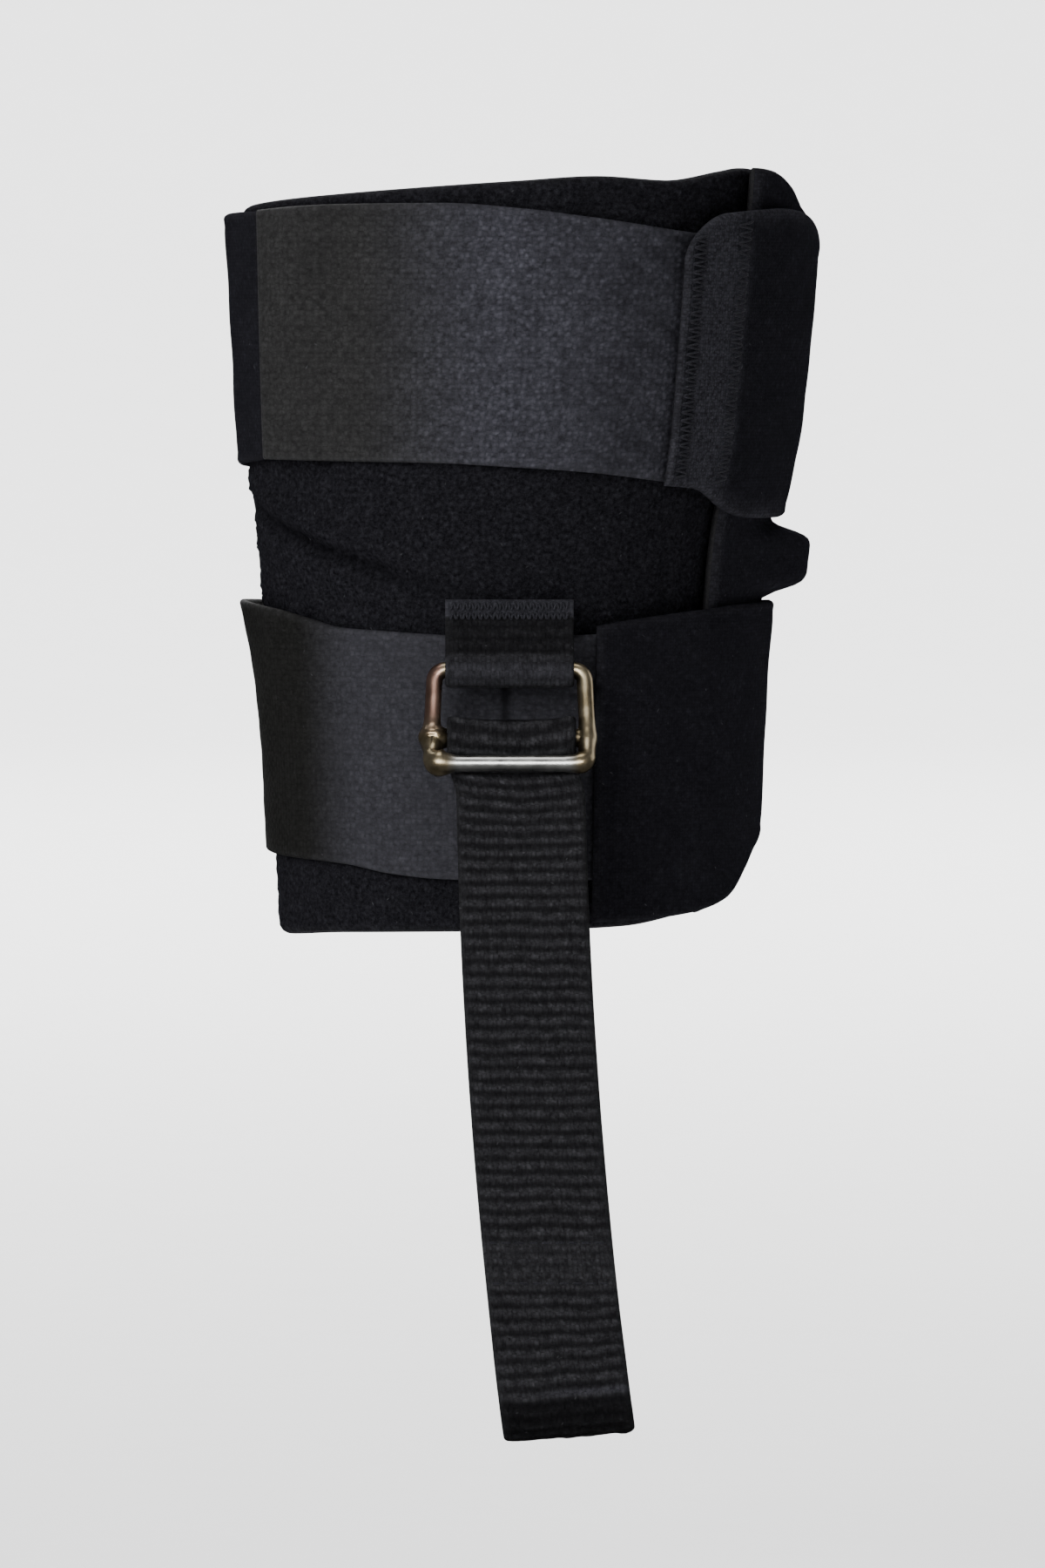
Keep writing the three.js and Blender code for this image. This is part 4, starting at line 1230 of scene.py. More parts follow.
def webbing(name, points, middle, flat, zone, shade, bow=None, curl=None, slant=None):
    """Webbing along a path. Gives the piece, and a function for places on its surface."""
    path, run = even_path(points, PATH_STEP, PATH_BLUR)
    along = np.gradient(path, axis=0)
    along /= np.linalg.norm(along, axis=1, keepdims=True)
    normal = np.stack([along[:, 1], -along[:, 0]], -1)
    share, reach, side = strip_ring(np.linspace(0, 1, WEBBING_ROWS))
    away = np.minimum(run, run[-1] - run)
    inward = np.clip(away / (WEBBING_THICK / 2), WEBBING_END, 1)
    half = WEBBING_THICK / 2 * np.sqrt(1 - (1 - inward) ** 2)
    across = (share - 0.5) * (WEBBING_WIDTH - WEBBING_THICK) + reach * WEBBING_THICK / 2
    across, runs = np.broadcast_arrays(across[None], run[:, None])
    outer = (2 * across / WEBBING_WIDTH) ** 2
    sag = bow(runs) * (1 - outer) if bow else 0
    ribbed = flat(runs)
    raised = ribs(runs - sag, across, ribbed)
    lift = side * half[:, None] + side * np.abs(side) * raised
    if curl:
        lift = lift + curl(runs) * outer
    x = TOP_BAR_X + middle(path[:, 1])[:, None] + across
    forward = path[:, :1] + normal[:, :1] * lift
    up = path[:, 1:] + normal[:, 1:] * lift
    if slant:
        up = up + slant(runs) * across
    points = np.stack([x, -forward, up], -1)
    edge = np.minimum(WEBBING_WIDTH / 2 - np.abs(across), away[:, None])
    tone = GROOVE_TONE + CROWN_TONE * raised / RIB_HEIGHT + SEWN_TONE * (1 - ribbed)
    notes = {
        "cloth": np.stack([runs, across, np.broadcast_to(side, runs.shape)], -1),
        "edge": edge,
        "zone": zone(runs, across),
        "ridge": np.clip(tone, 0, 1) * shade(runs),
    }

    def surface(at, place_across, rise):
        here = np.stack([np.interp(at, run, path[:, i]) for i in (0, 1)], -1)
        out = np.stack([np.interp(at, run, normal[:, i]) for i in (0, 1)], -1)
        spot = here + out * np.asarray(rise)[..., None]
        x = TOP_BAR_X + middle(here[..., 1]) + place_across
        return np.stack([x, -spot[..., 0], spot[..., 1]], -1)

    piece = mesh_piece(name, points, loft_faces(*x.shape), notes)
    piece["run"] = float(run[-1])
    return piece, surface


print("rows across the webbing:", WEBBING_ROWS, "with a section each", PATH_STEP, "mm")

# %% [markdown]
# ## The slider's tab
# A short length of webbing goes down behind the slider's top bar, round it and up again, and both
# ends are sewn to the front of the splint. It could be a flat grid that a modifier bends. A path of
# straight runs and arcs is chosen, because it keeps the air between bar and webbing exact. The tab
# is pulled flat, so its ribs are shallow. Shade is painted into the hollow under its seam, and a
# highlight onto its roll round the bar.

# %% The slider's tab: its path
TAB_TOP = 10.6  # mm above the top bar
TAB_SEWN = 2.6  # height of the sewn part
TAB_BEND = 6.4  # where the back layer clears the strap under it
TAB_SEWN_OFF = 1.0
ROLL_TURN = 50  # degrees above level where the front layer leaves the bar
TAB_PINCH = 4.6  # above the bar, where the two layers come together
PINCH_ROOM = 0.2

sewn_at = float(LEVEL["front"](np.array(TOP_BAR[1] + TAB_TOP))) + TAB_SEWN_OFF
back_layer = [np.array([sewn_at, TOP_BAR[1] + TAB_TOP - down]) for down in (0, TAB_SEWN)]
front_layer = [point + (LAYER_SPACING, 0) for point in reversed(back_layer)]
tab_path = [
    *back_layer,
    TOP_BAR + (-BEND, TAB_BEND),
    *arc(TOP_BAR, BEND, -180, ROLL_TURN),
    TOP_BAR + (LAYER_SPACING + PINCH_ROOM - BEND, TAB_PINCH),
    *front_layer,
]
tab_length = np.linalg.norm(np.diff(np.array(tab_path), axis=0), axis=1).sum()
pinch_length = np.linalg.norm(np.diff(np.array(tab_path[-4:-1]), axis=0), axis=1).sum()
roll_end = tab_length - TAB_SEWN - pinch_length
print("slider tab's length, mm:", tab_length.round(1), "with its roll to", roll_end.round(1))

# %% The slider's tab: its mesh
TAB_RIBS = 0.4  # the tab's webbing is stretched flatter than the strap's
RIBS_EASE = 2
SEWN_BLUR = (-0.3, 0.5)  # mm past the end of the sewn part
# painted highlight on the roll: its strength, its distance before the roll's end, its half length
ROLL_HIGHLIGHT, ROLL_LIT, ROLL_LIT_HALF = 0.6, 2.2, 1.8
# painted shade in the hollow between the roll and the sewn end
HOLLOW_DARK = 0.65
HOLLOW_FROM = (-0.6, 1.2)  # mm past the roll
HOLLOW_TO = (-0.6, 0.2)  # mm past the start of the sewn part


def tab_flat(run):
    """The tab's ribs are shallow, and they are gone where it is sewn."""
    return TAB_RIBS * smooth_step(np.minimum(run, tab_length - run), TAB_SEWN, TAB_SEWN + RIBS_EASE)


def tab_sewn_and_roll_highlight(run, across):
    """The sewn ends are lighter, and the roll round the bar, where the webbing is stretched, gets a
    painted highlight.
    """
    from_end = np.minimum(run, tab_length - run)
    sewn = 1 - smooth_step(from_end, TAB_SEWN + SEWN_BLUR[0], TAB_SEWN + SEWN_BLUR[1])
    rolled = np.exp(-(((run - roll_end + ROLL_LIT) / ROLL_LIT_HALF) ** 2))
    return np.maximum(sewn, ROLL_HIGHLIGHT * rolled)


def tab_shade(run):
    """Painted shade in the hollow between the roll and the sewn end, where less light reaches."""
    sewn_from = tab_length - TAB_SEWN
    past_roll = smooth_step(run, roll_end + HOLLOW_FROM[0], roll_end + HOLLOW_FROM[1])
    hollow = past_roll * (1 - smooth_step(tab_length - run, TAB_SEWN, 0))
    before_seam = 1 - smooth_step(run, sewn_from + HOLLOW_TO[0], sewn_from + HOLLOW_TO[1])
    return 1 - HOLLOW_DARK * hollow * before_seam


slider_webbing, on_slider_webbing = webbing(
    "slider_webbing", tab_path, lambda z: 0 * z, tab_flat, tab_sewn_and_roll_highlight, tab_shade
)
settle(slider_webbing, "webbing", [CLOTHS["webbing_cloth"]], "slider_tab")

# %% [markdown]
# ## The hanging strap
# The long strap starts with a hidden tail, turns over the middle bar, passes behind the lower one,
# hangs down and forward, and ends in a loop that is sewn shut. A curve with a flat bevel would give
# that shape too, but a sweep of its own lets the ribs be real relief, and lets the strap bow, curl
# and slant where the slider and the loop pull at it.

# %% The hanging strap: its path
STRAP_TILT = 23  # degrees forward of straight down
STRAP_RUN = 98.5  # mm from the lower bar to the end loop
STRAP_TAIL = 32
END_LOOP_RADIUS = 5.1
END_LOOP_LENGTH = 15  # from the loop's middle up to its seam
SEAM_LENGTH = 8

down, backward = heading(STRAP_TILT - 90), heading(STRAP_TILT + 180)
slot_way = LOWER_SLOT["tilt"] + 90 - math.degrees(math.asin(2 * BEND / LOWER_SLOT["length"]))
over_middle = arc(MIDDLE_BAR, BEND, STRAP_TILT + 180, slot_way - 90)
behind_lower = arc(LOWER_BAR, BEND, slot_way + 90, STRAP_TILT + 180)
loop_at = behind_lower[-1] + down * STRAP_RUN
loop_centre = loop_at + backward * END_LOOP_RADIUS
seam = loop_at - down * END_LOOP_LENGTH + backward * LAYER_SPACING
seam_reach = seam - loop_centre
seam_way = math.degrees(math.atan2(seam_reach[1], seam_reach[0]))
leave = seam_way + math.degrees(math.acos(END_LOOP_RADIUS / np.linalg.norm(seam_reach)))
strap_path = [
    over_middle[0] + down * STRAP_TAIL,
    *over_middle,
    *behind_lower,
    *arc(loop_centre, END_LOOP_RADIUS, STRAP_TILT, leave - 360),
    seam,
    seam - down * SEAM_LENGTH,
]
strap_steps = np.linalg.norm(np.diff(np.array(strap_path), axis=0), axis=1)
strap_length = strap_steps.sum()
bow_from = strap_steps[: len(over_middle)].sum()
fold_run = strap_steps[0] + 0.5 * strap_steps[1 : len(over_middle)].sum()
loop_run = strap_steps[: len(over_middle) + len(behind_lower)].sum() + STRAP_RUN
seam_run = loop_run - END_LOOP_LENGTH - SEAM_LENGTH / 2
print("strap length, mm:", strap_length.round(1), "with its loop at", loop_run.round(1))

# %% The hanging strap: how it lies
STRAP_X = 0.3  # mm, its place in the slider
STRAP_SHIFT = dict(by=1.3, start=2.8, finish=9)  # to the right, at these depths below the middle bar
STRAP_SWEEP = dict(lean=0.008, curve=0.00062)  # and further, the lower it hangs
BOW, CURL, SLANT = 1.3, 0.6, 0.08
BOW_RISE, BOW_FALL = -8, (4, 24)  # mm along the strap, from the lower bar
CURL_HALF = 4.0
SLANT_RISE, SLANT_FALL = -16, (14, 24)  # mm along the strap, from the loop


def strap_middle(z):
    """How far to the right the middle of the strap lies at a height."""
    below = np.maximum(0, MIDDLE_BAR[1] - z)
    shift = STRAP_SHIFT["by"] * smooth_step(below, STRAP_SHIFT["start"], STRAP_SHIFT["finish"])
    return STRAP_X + shift + STRAP_SWEEP["lean"] * below + STRAP_SWEEP["curve"] * below**2


def strap_bow(run):
    """The slider pulls the middle of the webbing tight, so the ribs near it hang in a shallow curve."""
    rise = smooth_step(run, bow_from + BOW_RISE, bow_from)
    return BOW * rise * (1 - smooth_step(run, bow_from + BOW_FALL[0], bow_from + BOW_FALL[1]))


def strap_curl(run):
    """Over the middle bar the edges stand up higher than the middle."""
    return -CURL * np.exp(-(((run - fold_run) / CURL_HALF) ** 2))


def strap_slant(run):
    """The end loop is turned a little, so its right side hangs higher."""
    rise = smooth_step(run, loop_run + SLANT_RISE, loop_run)
    return SLANT * rise * (1 - smooth_step(run, loop_run + SLANT_FALL[0], loop_run + SLANT_FALL[1]))


print("strap's middle at its lowest, mm:", strap_middle(loop_at[1]).round(1))

# %% The hanging strap: its mesh
SEAM_RIBS = 0.4  # the share of the ribs that is left where the loop is sewn
SEAM_EASE = 1
# painted shade on the fold and inside the end loop, and a painted highlight on one rib
FOLD_DARK, FOLD_DARK_HALF = 0.6, 1.6
LOOP_DARK = 0.85
LOOP_DARK_FROM, LOOP_DARK_TO = (1.4, 2.6), (12, 16)  # mm along the strap, from the loop
LIT_RIB, LIT_RIB_AT, LIT_RIB_HALF = 0.75, 1.0, 0.5
LIT_ACROSS = (-7, 3)  # mm, the lit rib fades out to the left


def strap_flat(run):
    """The ribs are pressed down where the loop is sewn."""
    near_front = np.abs(run - seam_run)
    near_back = np.abs(strap_length - SEAM_LENGTH / 2 - run)
    near_seam = np.minimum(near_front, near_back)
    clear = smooth_step(near_seam, SEAM_LENGTH / 2 - SEAM_EASE, SEAM_LENGTH / 2 + SEAM_EASE)
    return SEAM_RIBS + (1 - SEAM_RIBS) * clear


def strap_shade(run):
    """Painted shade on the fold over the middle bar, which the tab shades, and inside the end loop."""
    past_loop = smooth_step(run, loop_run + LOOP_DARK_FROM[0], loop_run + LOOP_DARK_FROM[1])
    under = past_loop * (1 - smooth_step(run, loop_run + LOOP_DARK_TO[0], loop_run + LOOP_DARK_TO[1]))
    fold = np.exp(-(((run - fold_run) / FOLD_DARK_HALF) ** 2))
    return (1 - FOLD_DARK * fold) * (1 - LOOP_DARK * under)


def strap_rib_highlight(run, across):
    """A painted highlight on one rib, where the webbing turns into the end loop."""
    rib = np.exp(-(((run - loop_run - LIT_RIB_AT) / LIT_RIB_HALF) ** 2))
    return LIT_RIB * rib * smooth_step(across, *LIT_ACROSS)


hanging_strap, on_hanging_strap = webbing(
    "hanging_strap", strap_path, strap_middle, strap_flat, strap_rib_highlight, strap_shade,
    strap_bow, strap_curl, strap_slant,
)
settle(hanging_strap, "webbing", [CLOTHS["webbing_cloth"]], "foot_strap")

# %% [markdown]
# ## The wire slider
# The slider is a ring of bent wire with a middle bar soldered across it, and it kinks forward at
# that bar, so the webbing locks. A path with round bends is swept with a round section. The wire
# swells a little at the solder joints. A boolean union then makes ring and bar one solid.

# %% Wire along a path
WIRE_SIDES = 20


def swept_wire(name, points, radii, closed):
    """A round wire through points, with a radius at each of them."""
    ahead = np.roll(points, -1, 0) - np.roll(points, 1, 0)
    if not closed:
        ahead = np.gradient(points, axis=0)
    ahead /= np.linalg.norm(ahead, axis=1, keepdims=True)
    tilt = math.radians(UPPER_SLOT["tilt"])
    front = np.array([0, -math.cos(tilt), -math.sin(tilt)])
    across = np.cross(ahead, front)
    across /= np.linalg.norm(across, axis=1, keepdims=True)
    face = np.cross(across, ahead)
    turn = 2 * np.pi * (np.arange(WIRE_SIDES) + 0.5) / WIRE_SIDES
    ring = across[:, None] * np.cos(turn)[:, None] + face[:, None] * np.sin(turn)[:, None]
    rings = points[:, None] + radii[:, None, None] * ring
    return mesh_piece(name, rings, loft_faces(len(points), WIRE_SIDES, closed), {})


print("flat sides round the wire:", WIRE_SIDES)

# %% Half of the ring
SLIDER_HALF_WIDTH = 11.6
SLIDER_CORNER = 2.2
SLIDER_SPREAD = 0.15  # the ring is wider at the middle bar than at the top one by four times this
KINK_ABOVE, KINK_BELOW = 2.2, 1.3  # mm of bend on either side of the middle bar
BEND_POINTS = 9
RUN_POINTS = 8  # points on a straight run, its ends included


def curve(start, control, finish):
    """A bend from one point to another, pulled towards a corner."""
    t = np.linspace(0, 1, BEND_POINTS)[:, None]
    return (1 - t) ** 2 * start + 2 * t * (1 - t) * control + t * t * finish


def on_bar(x, bar):
    """A point on a bar."""
    return np.array([TOP_BAR_X + x, -bar[0], bar[1]])


def straight_run(start, finish):
    """Points between two bends."""
    return np.linspace(start, finish, RUN_POINTS)[1:-1]


def side_wire(sign):
    """One half of the ring, from the middle of the top bar to the middle of the lower one."""
    top_edge = sign * (SLIDER_HALF_WIDTH - SLIDER_SPREAD)
    edge = sign * (SLIDER_HALF_WIDTH + SLIDER_SPREAD)
    top_inner, inner = top_edge - sign * SLIDER_CORNER, edge - sign * SLIDER_CORNER
    fall = heading(UPPER_SLOT["tilt"] - 90)
    out = heading(LOWER_SLOT["tilt"] - 90)
    upper = TOP_BAR + fall * SLIDER_CORNER
    lower = LOWER_BAR - out * SLIDER_CORNER
    kink_in, kink_out = MIDDLE_BAR - fall * KINK_ABOVE, MIDDLE_BAR + out * KINK_BELOW
    return np.concatenate([
        straight_run(on_bar(0, TOP_BAR), on_bar(top_inner, TOP_BAR)),
        curve(on_bar(top_inner, TOP_BAR), on_bar(top_edge, TOP_BAR), on_bar(top_edge, upper)),
        straight_run(on_bar(top_edge, upper), on_bar(edge, kink_in)),
        curve(on_bar(edge, kink_in), on_bar(edge, MIDDLE_BAR), on_bar(edge, kink_out)),
        curve(on_bar(edge, lower), on_bar(edge, LOWER_BAR), on_bar(inner, LOWER_BAR)),
        straight_run(on_bar(inner, LOWER_BAR), on_bar(0, LOWER_BAR)),
    ])


print("points on half of the ring:", len(side_wire(1)))

# %% Ring, bar and union
SOLDER = table(
    "side bar swell inset",
    (-1, MIDDLE_BAR, 1.0, 0.3),
    (-1, LOWER_BAR, 0.9, 0.85),
    (1, MIDDLE_BAR, 0.35, 0.3),
    (1, LOWER_BAR, 0.45, 0.6),
)
JOINT_LENGTH = 1.5
BAR_POINTS = 41
BAR_THINNER = 0.05  # mm, so that the bar's ends stay inside the ring

ring_points = np.concatenate([side_wire(1), side_wire(-1)[::-1]])
bar_x = np.linspace(-SLIDER_HALF_WIDTH, SLIDER_HALF_WIDTH, BAR_POINTS)
bar_points = np.array([on_bar(x, MIDDLE_BAR) for x in bar_x])


def wire_radii(points):
    """The wire's radius at each point. It swells at the solder joints."""
    radii = np.full(len(points), WIRE_RADIUS)
    for joint in SOLDER:
        spot = on_bar(joint["side"] * (SLIDER_HALF_WIDTH - joint["inset"]), joint["bar"])
        away = np.linalg.norm(points - spot, axis=1)
        radii += joint["swell"] * np.exp(-((away / JOINT_LENGTH) ** 2))
    return radii


slider_wire = swept_wire("slider_wire", ring_points, wire_radii(ring_points), True)
bar = swept_wire("middle_bar", bar_points, wire_radii(bar_points) - BAR_THINNER, False)
union = slider_wire.modifiers.new("solder", "BOOLEAN")
union.operation, union.solver, union.object = "UNION", "EXACT", bar
view_layer = bpy.context.evaluated_depsgraph_get()
joined = bpy.data.meshes.new_from_object(slider_wire.evaluated_get(view_layer))
slider_wire.modifiers.clear()
slider_wire.data = joined
bpy.data.objects.remove(bar)
slider_wire.data.shade_smooth()
settle(slider_wire, "wire", [NICKEL], "strap_slider")

# %% [markdown]
# ## Stitching
# The seams are what make the splint look sewn. Each stitch is a short thread that rises out of the
# cloth, lies on it and dives back in. One function turns any number of them into a mesh, so a
# zigzag, a straight row and a dense bar of stitches differ only in where their needle holes are.

# %% Threads
THREAD_SIDES = 6
THREAD_TAPER = np.array([0.5, 0.95, 1, 1, 1, 0.95, 0.5])  # of the radius, along a stitch
THREAD_POINTS = len(THREAD_TAPER)
THREAD_SINK = 0.25  # mm that the ends of a stitch go into the cloth
ARCH_POWER, SINK_POWER = 0.6, 0.4  # below one, a stitch rises and dives more steeply
THREADS_APART = 7.3  # mm between stitches in the finish's own coordinates
FAR_FROM_EDGES = 9.0


def threads(name, starts, ends, outward, radius, arch):
    """Stitches from needle hole to needle hole, each a closed tube that arches over the cloth."""
    t = np.linspace(0, 1, THREAD_POINTS)[None, :, None]
    hump = np.sin(np.pi * t)
    rise = arch * hump**ARCH_POWER - THREAD_SINK * (1 - hump**SINK_POWER)
    paths = starts[:, None] * (1 - t) + ends[:, None] * t + outward[:, None] * rise
    ahead = np.gradient(paths, axis=1)
    ahead /= np.linalg.norm(ahead, axis=-1, keepdims=True)
    across = np.cross(ahead, outward[:, None])
    across /= np.linalg.norm(across, axis=-1, keepdims=True)
    face = np.cross(across, ahead)
    turn = 2 * np.pi * np.arange(THREAD_SIDES) / THREAD_SIDES
    around = across[:, :, None] * np.cos(turn)[:, None] + face[:, :, None] * np.sin(turn)[:, None]
    taper = radius * THREAD_TAPER
    points = paths[:, :, None] + taper[None, :, None, None] * around
    size = THREAD_SIDES * THREAD_POINTS
    one = loft_faces(THREAD_POINTS, THREAD_SIDES)
    faces = (one[None] + (np.arange(len(starts)) * size)[:, None, None]).reshape(-1, 4)
    length = np.linalg.norm(ends - starts, axis=1)[:, None, None] * t
    offset = THREADS_APART * np.arange(len(starts))[:, None, None]
    length = np.broadcast_to(length + offset, points.shape[:-1])
    girth = np.broadcast_to(radius * turn, points.shape[:-1])
    notes = {
        "cloth": np.stack([length, girth, 0 * length], -1),
        "edge": np.full(length.shape, FAR_FROM_EDGES),
        "zone": np.zeros(length.shape),
        "ridge": np.ones(length.shape),
    }
    piece = mesh_piece(name, points, faces, notes)
    return settle(piece, "smooth", [CLOTHS["sewing_thread"]])


print("faces in one stitch:", len(loft_faces(THREAD_POINTS, THREAD_SIDES)))

# %% Rows of stitches
THREAD_PAUSE = 0.18  # of a stitch, between the pairs of holes of a straight row


def sew(name, holes, surface, radius=0.2, arch=0.12, skip=False):
    """Stitches through needle holes on a surface. With skip, every other gap has no stitch."""
    first, second = holes[:-1], holes[1:]
    if skip:
        first, second = holes[0:-1:2], holes[1::2]
    flush, raised = np.zeros(len(first)), np.ones(len(first))
    starts, ends = surface(*first.T, flush), surface(*second.T, flush)
    outward = surface(*first.T, raised) - starts
    outward /= np.linalg.norm(outward, axis=1, keepdims=True)
    return threads(name, starts, ends, outward, radius, arch)


def zigzag(start, finish, swing, count):
    """Needle holes of a zigzag row from one place to another, swinging to either side."""
    t = np.linspace(0, 1, count)[:, None]
    holes = np.array(start) * (1 - t) + np.array(finish) * t
    return holes + np.where(np.arange(count)[:, None] % 2, 0.5, -0.5) * np.array(swing)


def straight(start, finish, length):
    """Needle holes of a straight row: pairs a stitch apart, with a short pause between them."""
    start, finish = np.array(start, float), np.array(finish, float)
    count = max(1, int(np.linalg.norm(finish - start) / length))
    t = np.arange(count)[:, None] / count
    step = (finish - start) / count
    first = start + t * (finish - start)
    return np.stack([first, first + step * (1 - THREAD_PAUSE)], 1).reshape(-1, 2)


print("holes in 20 mm of a straight row:", len(straight((0, 0), (0, 20), 2.0)))

# %% Seams of the tabs and straps
DEGREE = 41 * math.pi / 180  # mm of run in a degree, about
HEM_TOP, HEM_TOP_RISE = 48.4, 0.3  # mm: the rows' upper end, higher the further in
HEM_LOW, HEM_LOW_FALL = 12.2, 0.1
HEM_SWING, HEM_HOLES = 2.4, 60
END_INSET, END_SWING, END_HOLES = 2.0, 2.2, 46
END_LOW, END_TOP = -45.4, -10.8
FACING_FROM = -252.0  # the turn where the wrap's smooth facing begins, under the tabs
FACING_INSET, FACING_STITCH = 1.5, 2.6
FACING_LOW, FACING_TOP = -44.0, 48.0

on_upper_tab = lifted(UPPER_STRAP_TAB, TAB_THICK)[-1]
for row, from_end in enumerate(HEM_ROWS):
    spot = UPPER_STRAP_TAB[0]["angle"] + from_end / DEGREE
    high, low = HEM_TOP + HEM_TOP_RISE * from_end, HEM_LOW - HEM_LOW_FALL * from_end
    holes = zigzag((spot, low), (spot, high), (HEM_SWING / DEGREE, 0), HEM_HOLES)
    sew(f"hem_zigzag_{row + 1}", holes, on_upper_tab)

on_lower_elastic = lifted(LOWER_STRAP, ELASTIC_THICK)[-1]
lower_end = LOWER_STRAP[0]["angle"] + END_INSET / DEGREE
holes = zigzag((lower_end, END_LOW), (lower_end, END_TOP), (END_SWING / DEGREE, 0), END_HOLES)
sew("lower_end_zigzag", holes, on_lower_elastic)


def on_wrap(turn, z, rise=0.0):
    """The wrap's outer surface."""
    inner = wrap_inner(np.asarray(turn, float), np.asarray(z, float))
    return wrap_point(turn, z, inner + WRAP_THICK + rise)


facing_seam = FACING_FROM - FACING_INSET / DEGREE
holes = straight((facing_seam, FACING_LOW), (facing_seam, FACING_TOP), FACING_STITCH)
sew("facing_seam", holes, on_wrap, skip=True)

# %% Bars of stitches on the webbing
BAR_HALF = 9.0  # mm across the webbing, to either side
TAB_BARS, TAB_BAR_SWING, TAB_BAR_HOLES = (-0.9, 0.7), 1.5, 40
LOOP_BARS, LOOP_STITCH = (-3.4, 3.0), 2.0
FRONT_INSET = 0.4

front_run = tab_length - TAB_SEWN / 2 - FRONT_INSET


def tab_front(run, across, rise):
    """The front of the slider's tab."""
    return on_slider_webbing(run, across, WEBBING_THICK / 2 + rise)


for row, off in enumerate(TAB_BARS):
    spot = front_run + off
    holes = zigzag((spot, -BAR_HALF), (spot, BAR_HALF), (TAB_BAR_SWING, 0), TAB_BAR_HOLES)
    sew(f"tab_bar_{row + 1}", holes, tab_front, radius=0.22, arch=0.14)


def strap_front(run, across, rise):
    """The front of the hanging strap, which is the path's other side."""
    return on_hanging_strap(run, across, -(WEBBING_THICK / 2 + rise))


for row, off in enumerate(LOOP_BARS):
    holes = straight((seam_run + off, -BAR_HALF), (seam_run + off, BAR_HALF), LOOP_STITCH)
    sew(f"loop_bar_{row + 1}", holes, strap_front, radius=0.17, arch=0.06, skip=True)

# %% [markdown]
# ## The studio floor
# The splint is shown over a pale floor that curves up into a pale wall all round, so no horizon
# shows from any side. The floor is a profile turned round the middle, and mirrors don't see it, so
# the wire stays dark enough.

# %% Studio paper
PAPER = ((0.80, 0.80, 0.80, 1.0), (0.83, 0.83, 0.835, 1.0))
PAPER_FIBRES = dict(Scale=60.0, Detail=6.0)
PAPER_ROUGH = (0.3, 0.7, 0.85, 0.95)


def studio_paper():
    """Matt pale paper with faint fibres."""
    material, tree, shader = new_material("studio_paper", specular_ior_level=0.1)
    place_on = add(tree, "TexCoord").outputs["Object"]
    fibres = add(tree, "TexNoise", {"Vector": place_on, **PAPER_FIBRES}).outputs["Fac"]
    put(tree, shader.inputs["Base Color"], mixed(tree, fibres, *PAPER))
    put(tree, shader.inputs["Roughness"], ranged(tree, fibres, *PAPER_ROUGH))
    return material


PAPER_FINISH = studio_paper()
print("paper:", PAPER_FINISH.name, len(PAPER_FINISH.node_tree.nodes), "nodes")

# %% Floor
FLOOR_Z = -0.165
FLOOR_RADIUS, FLOOR_BEND, WALL_TOP = 4.2, 1.2, 3.2
FLAT_RADII = (0.01, 0.3, 1.0, 2.0, 3.0)
FLOOR_SIDES = 96
BEND_STEPS = 13


def bend_point(turn):
    """A point of the bend between floor and wall."""
    up = FLOOR_BEND * (1 - math.cos(turn))
    return FLOOR_RADIUS + FLOOR_BEND * math.sin(turn), FLOOR_Z + up


profile = [(r, FLOOR_Z) for r in FLAT_RADII]
profile += [bend_point(turn) for turn in np.radians(np.linspace(0, 90, BEND_STEPS))]
profile.append((FLOOR_RADIUS + FLOOR_BEND, WALL_TOP))
turns = 2 * np.pi * np.arange(FLOOR_SIDES) / FLOOR_SIDES
rings = np.array([[(r * np.cos(t), r * np.sin(t), z) for t in turns] for r, z in profile])
floor_mesh = bpy.data.meshes.new("studio_floor")
quads = loft_faces(len(profile), FLOOR_SIDES)[: (len(profile) - 1) * FLOOR_SIDES]
floor_faces = [list(range(FLOOR_SIDES)), *quads.tolist()]
floor_mesh.from_pydata(rings.reshape(-1, 3).tolist(), [], floor_faces)
floor_mesh.shade_smooth()
floor = bpy.data.objects.new("studio_floor", floor_mesh)
floor_mesh.materials.append(PAPER_FINISH)
bpy.context.scene.collection.objects.link(floor)
floor.visible_glossy = False
print("floor:", len(floor_faces), "faces, out to", FLOOR_RADIUS + FLOOR_BEND, "m")

# %% [markdown]
# ## The lights
# A large soft key light to the front and left gives the cloth its shape, and a weak one fills the
# right. Dark cloth needs more light at its back, its side and its top than a pale floor can take,
# so those three lights are linked to the splint alone. The wire mirrors one long strip light, which
# is linked to the slider, and not the key, which would burn out on it. A backdrop light over the
# floor behind the splint keeps the background even.

# %% Lights
LIGHTS = table(
    "name azimuth elevation distance size power",
    ("key_light", -38, 25, 1.7, 0.9, 34),
    ("fill_light", 45, 12, 2.0, 1.2, 0.6),
    ("strip_light", 0, 15, 1.6, 1.4, 26),
    ("back_light", 180, 22, 2.0, 1.4, 36),
    ("side_light", 118, 20, 2.0, 1.2, 6),
    ("top_light", 0, 84, 1.6, 0.8, 7),
    ("backdrop_light", 180, 60, 3.2, 3.0, 450),
)
STRIP_WIDTH = 0.4
BACKDROP_PLACE = (0.0, 2.7, 2.6)
STRAIGHT_DOWN = (0.0, 0.0, 0.0)


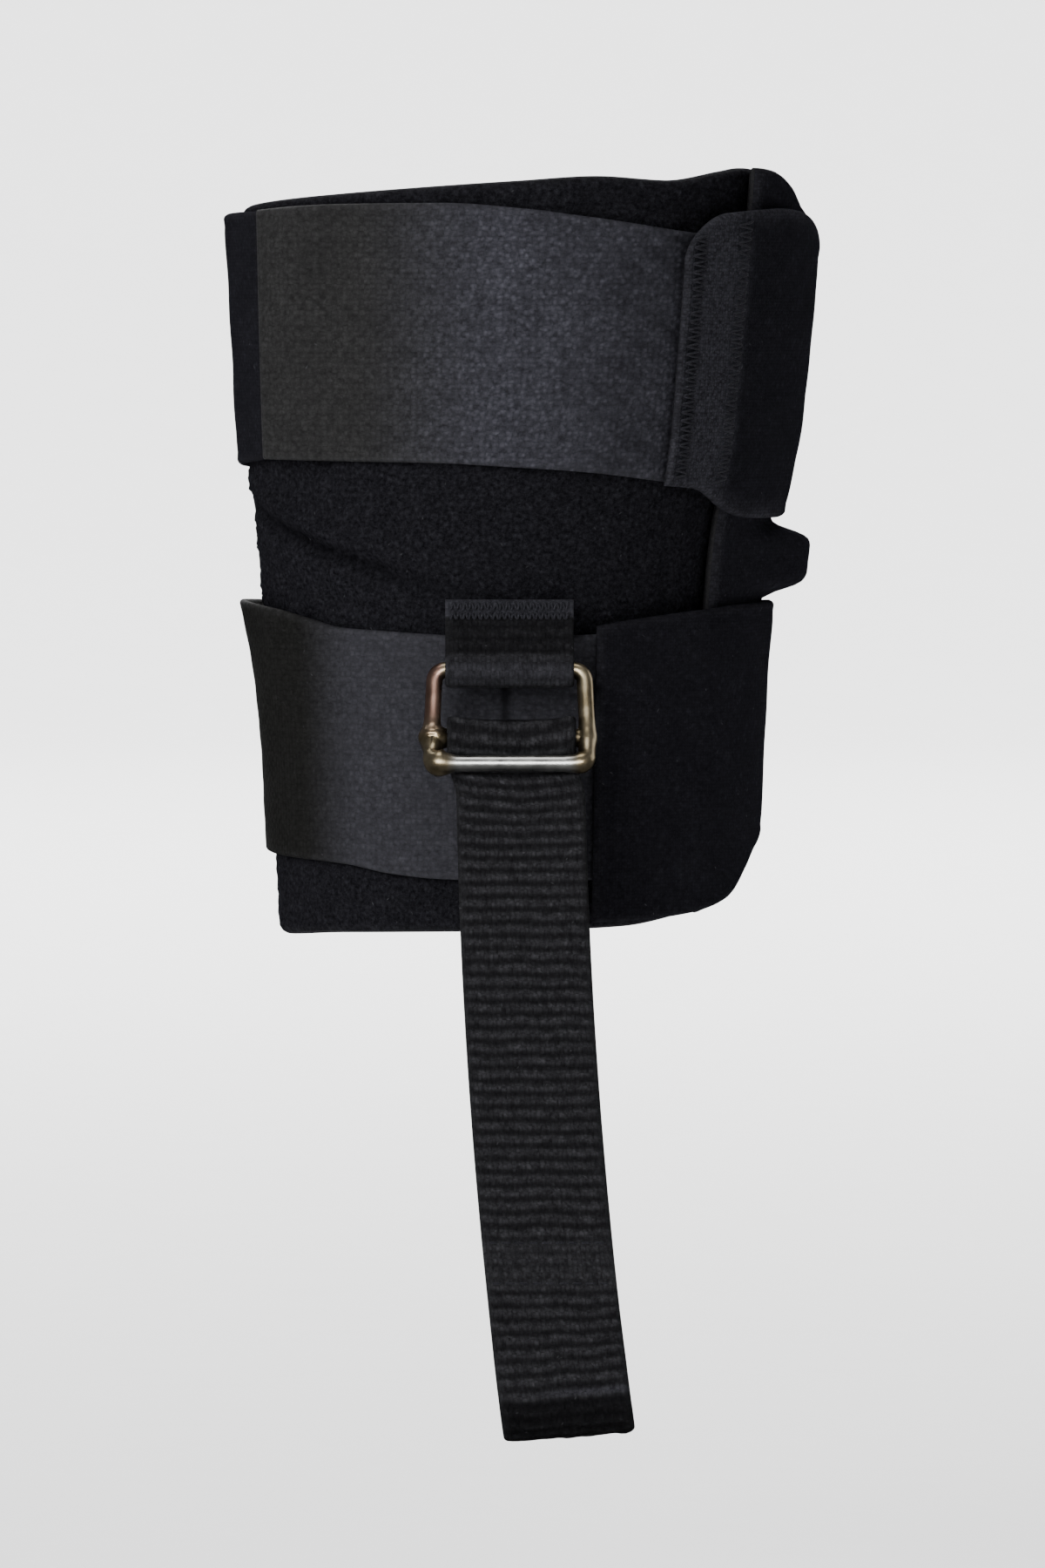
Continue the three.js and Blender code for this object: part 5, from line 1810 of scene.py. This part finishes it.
def soft_light(name, azimuth, elevation, distance, size, power):
    """A square soft light, aimed at the splint. Azimuth 0 is the front and positive is to the right."""
    data = bpy.data.lights.new(name, "AREA")
    data.size, data.energy = size, power
    light = bpy.data.objects.new(name, data)
    a, e = math.radians(azimuth), math.radians(elevation)
    away = Vector((math.sin(a) * math.cos(e), -math.cos(a) * math.cos(e), math.sin(e)))
    light.location = CAMERA_AIM + away * distance
    light.rotation_euler = (-away).to_track_quat("-Z", "Y").to_euler()
    bpy.context.scene.collection.objects.link(light)
    return light


lights = {row["name"]: soft_light(**row) for row in LIGHTS}
lights["key_light"].visible_glossy = False
lights["strip_light"].data.shape = "RECTANGLE"
lights["strip_light"].data.size_y = STRIP_WIDTH
lights["backdrop_light"].location = BACKDROP_PLACE
lights["backdrop_light"].rotation_euler = STRAIGHT_DOWN
print("lights:", ", ".join(lights))

# %% What each light reaches, and the sky
SKY_COLOUR, SKY_STRENGTH = (1.0, 1.0, 1.0, 1.0), 0.1

only_slider = bpy.data.collections.new("lit_by_strip")
only_slider.objects.link(slider_wire)
lights["strip_light"].light_linking.receiver_collection = only_slider
only_splint = bpy.data.collections.new("lit_from_behind")
for piece in bpy.data.objects:
    if piece.type == "MESH" and piece != floor:
        only_splint.objects.link(piece)
for name in ("back_light", "side_light", "top_light"):
    lights[name].light_linking.receiver_collection = only_splint
sky = bpy.data.worlds.new("studio_sky")
sky.use_nodes = True
background = sky.node_tree.nodes["Background"]
background.inputs["Color"].default_value = SKY_COLOUR
background.inputs["Strength"].default_value = SKY_STRENGTH
bpy.context.scene.world = sky

# %% [markdown]
# ## What is soft
# The wrap, the straps and the tabs are cut from flat cloth, and each one's flat size and length
# are printed. The wrap, the straps and the tabs are cut from flat cloth, and saying how large each
# was cut lets a checker see that none was stretched out of size. The lengths are the measured runs
# of the meshes.

WRAP_WIDTH, ELASTIC_WIDTH, TAB_WIDTH = 108.0, 38.6, 41.0  # mm


def cut_flat(piece, width, held, *under):
    """Prints a sheet's flat size and length in mm. How it is held and what it lies on are not used."""
    print(piece.name, "was cut", round(width, 1), "by", round(piece["run"], 1), "mm")


cut_flat(wrap_sheet, WRAP_WIDTH, "stretched")
cut_flat(upper_elastic, ELASTIC_WIDTH, "stretched", wrap_sheet.name)
cut_flat(lower_elastic, ELASTIC_WIDTH, "stretched", wrap_sheet.name)
for tab in (upper_tab, upper_hook, lower_tab, lower_hook):
    cut_flat(tab, TAB_WIDTH, "laid", wrap_sheet.name)
cut_flat(slider_webbing, WEBBING_WIDTH, "folded", wrap_sheet.name)
cut_flat(hanging_strap, WEBBING_WIDTH, "hung", slider_wire.name)
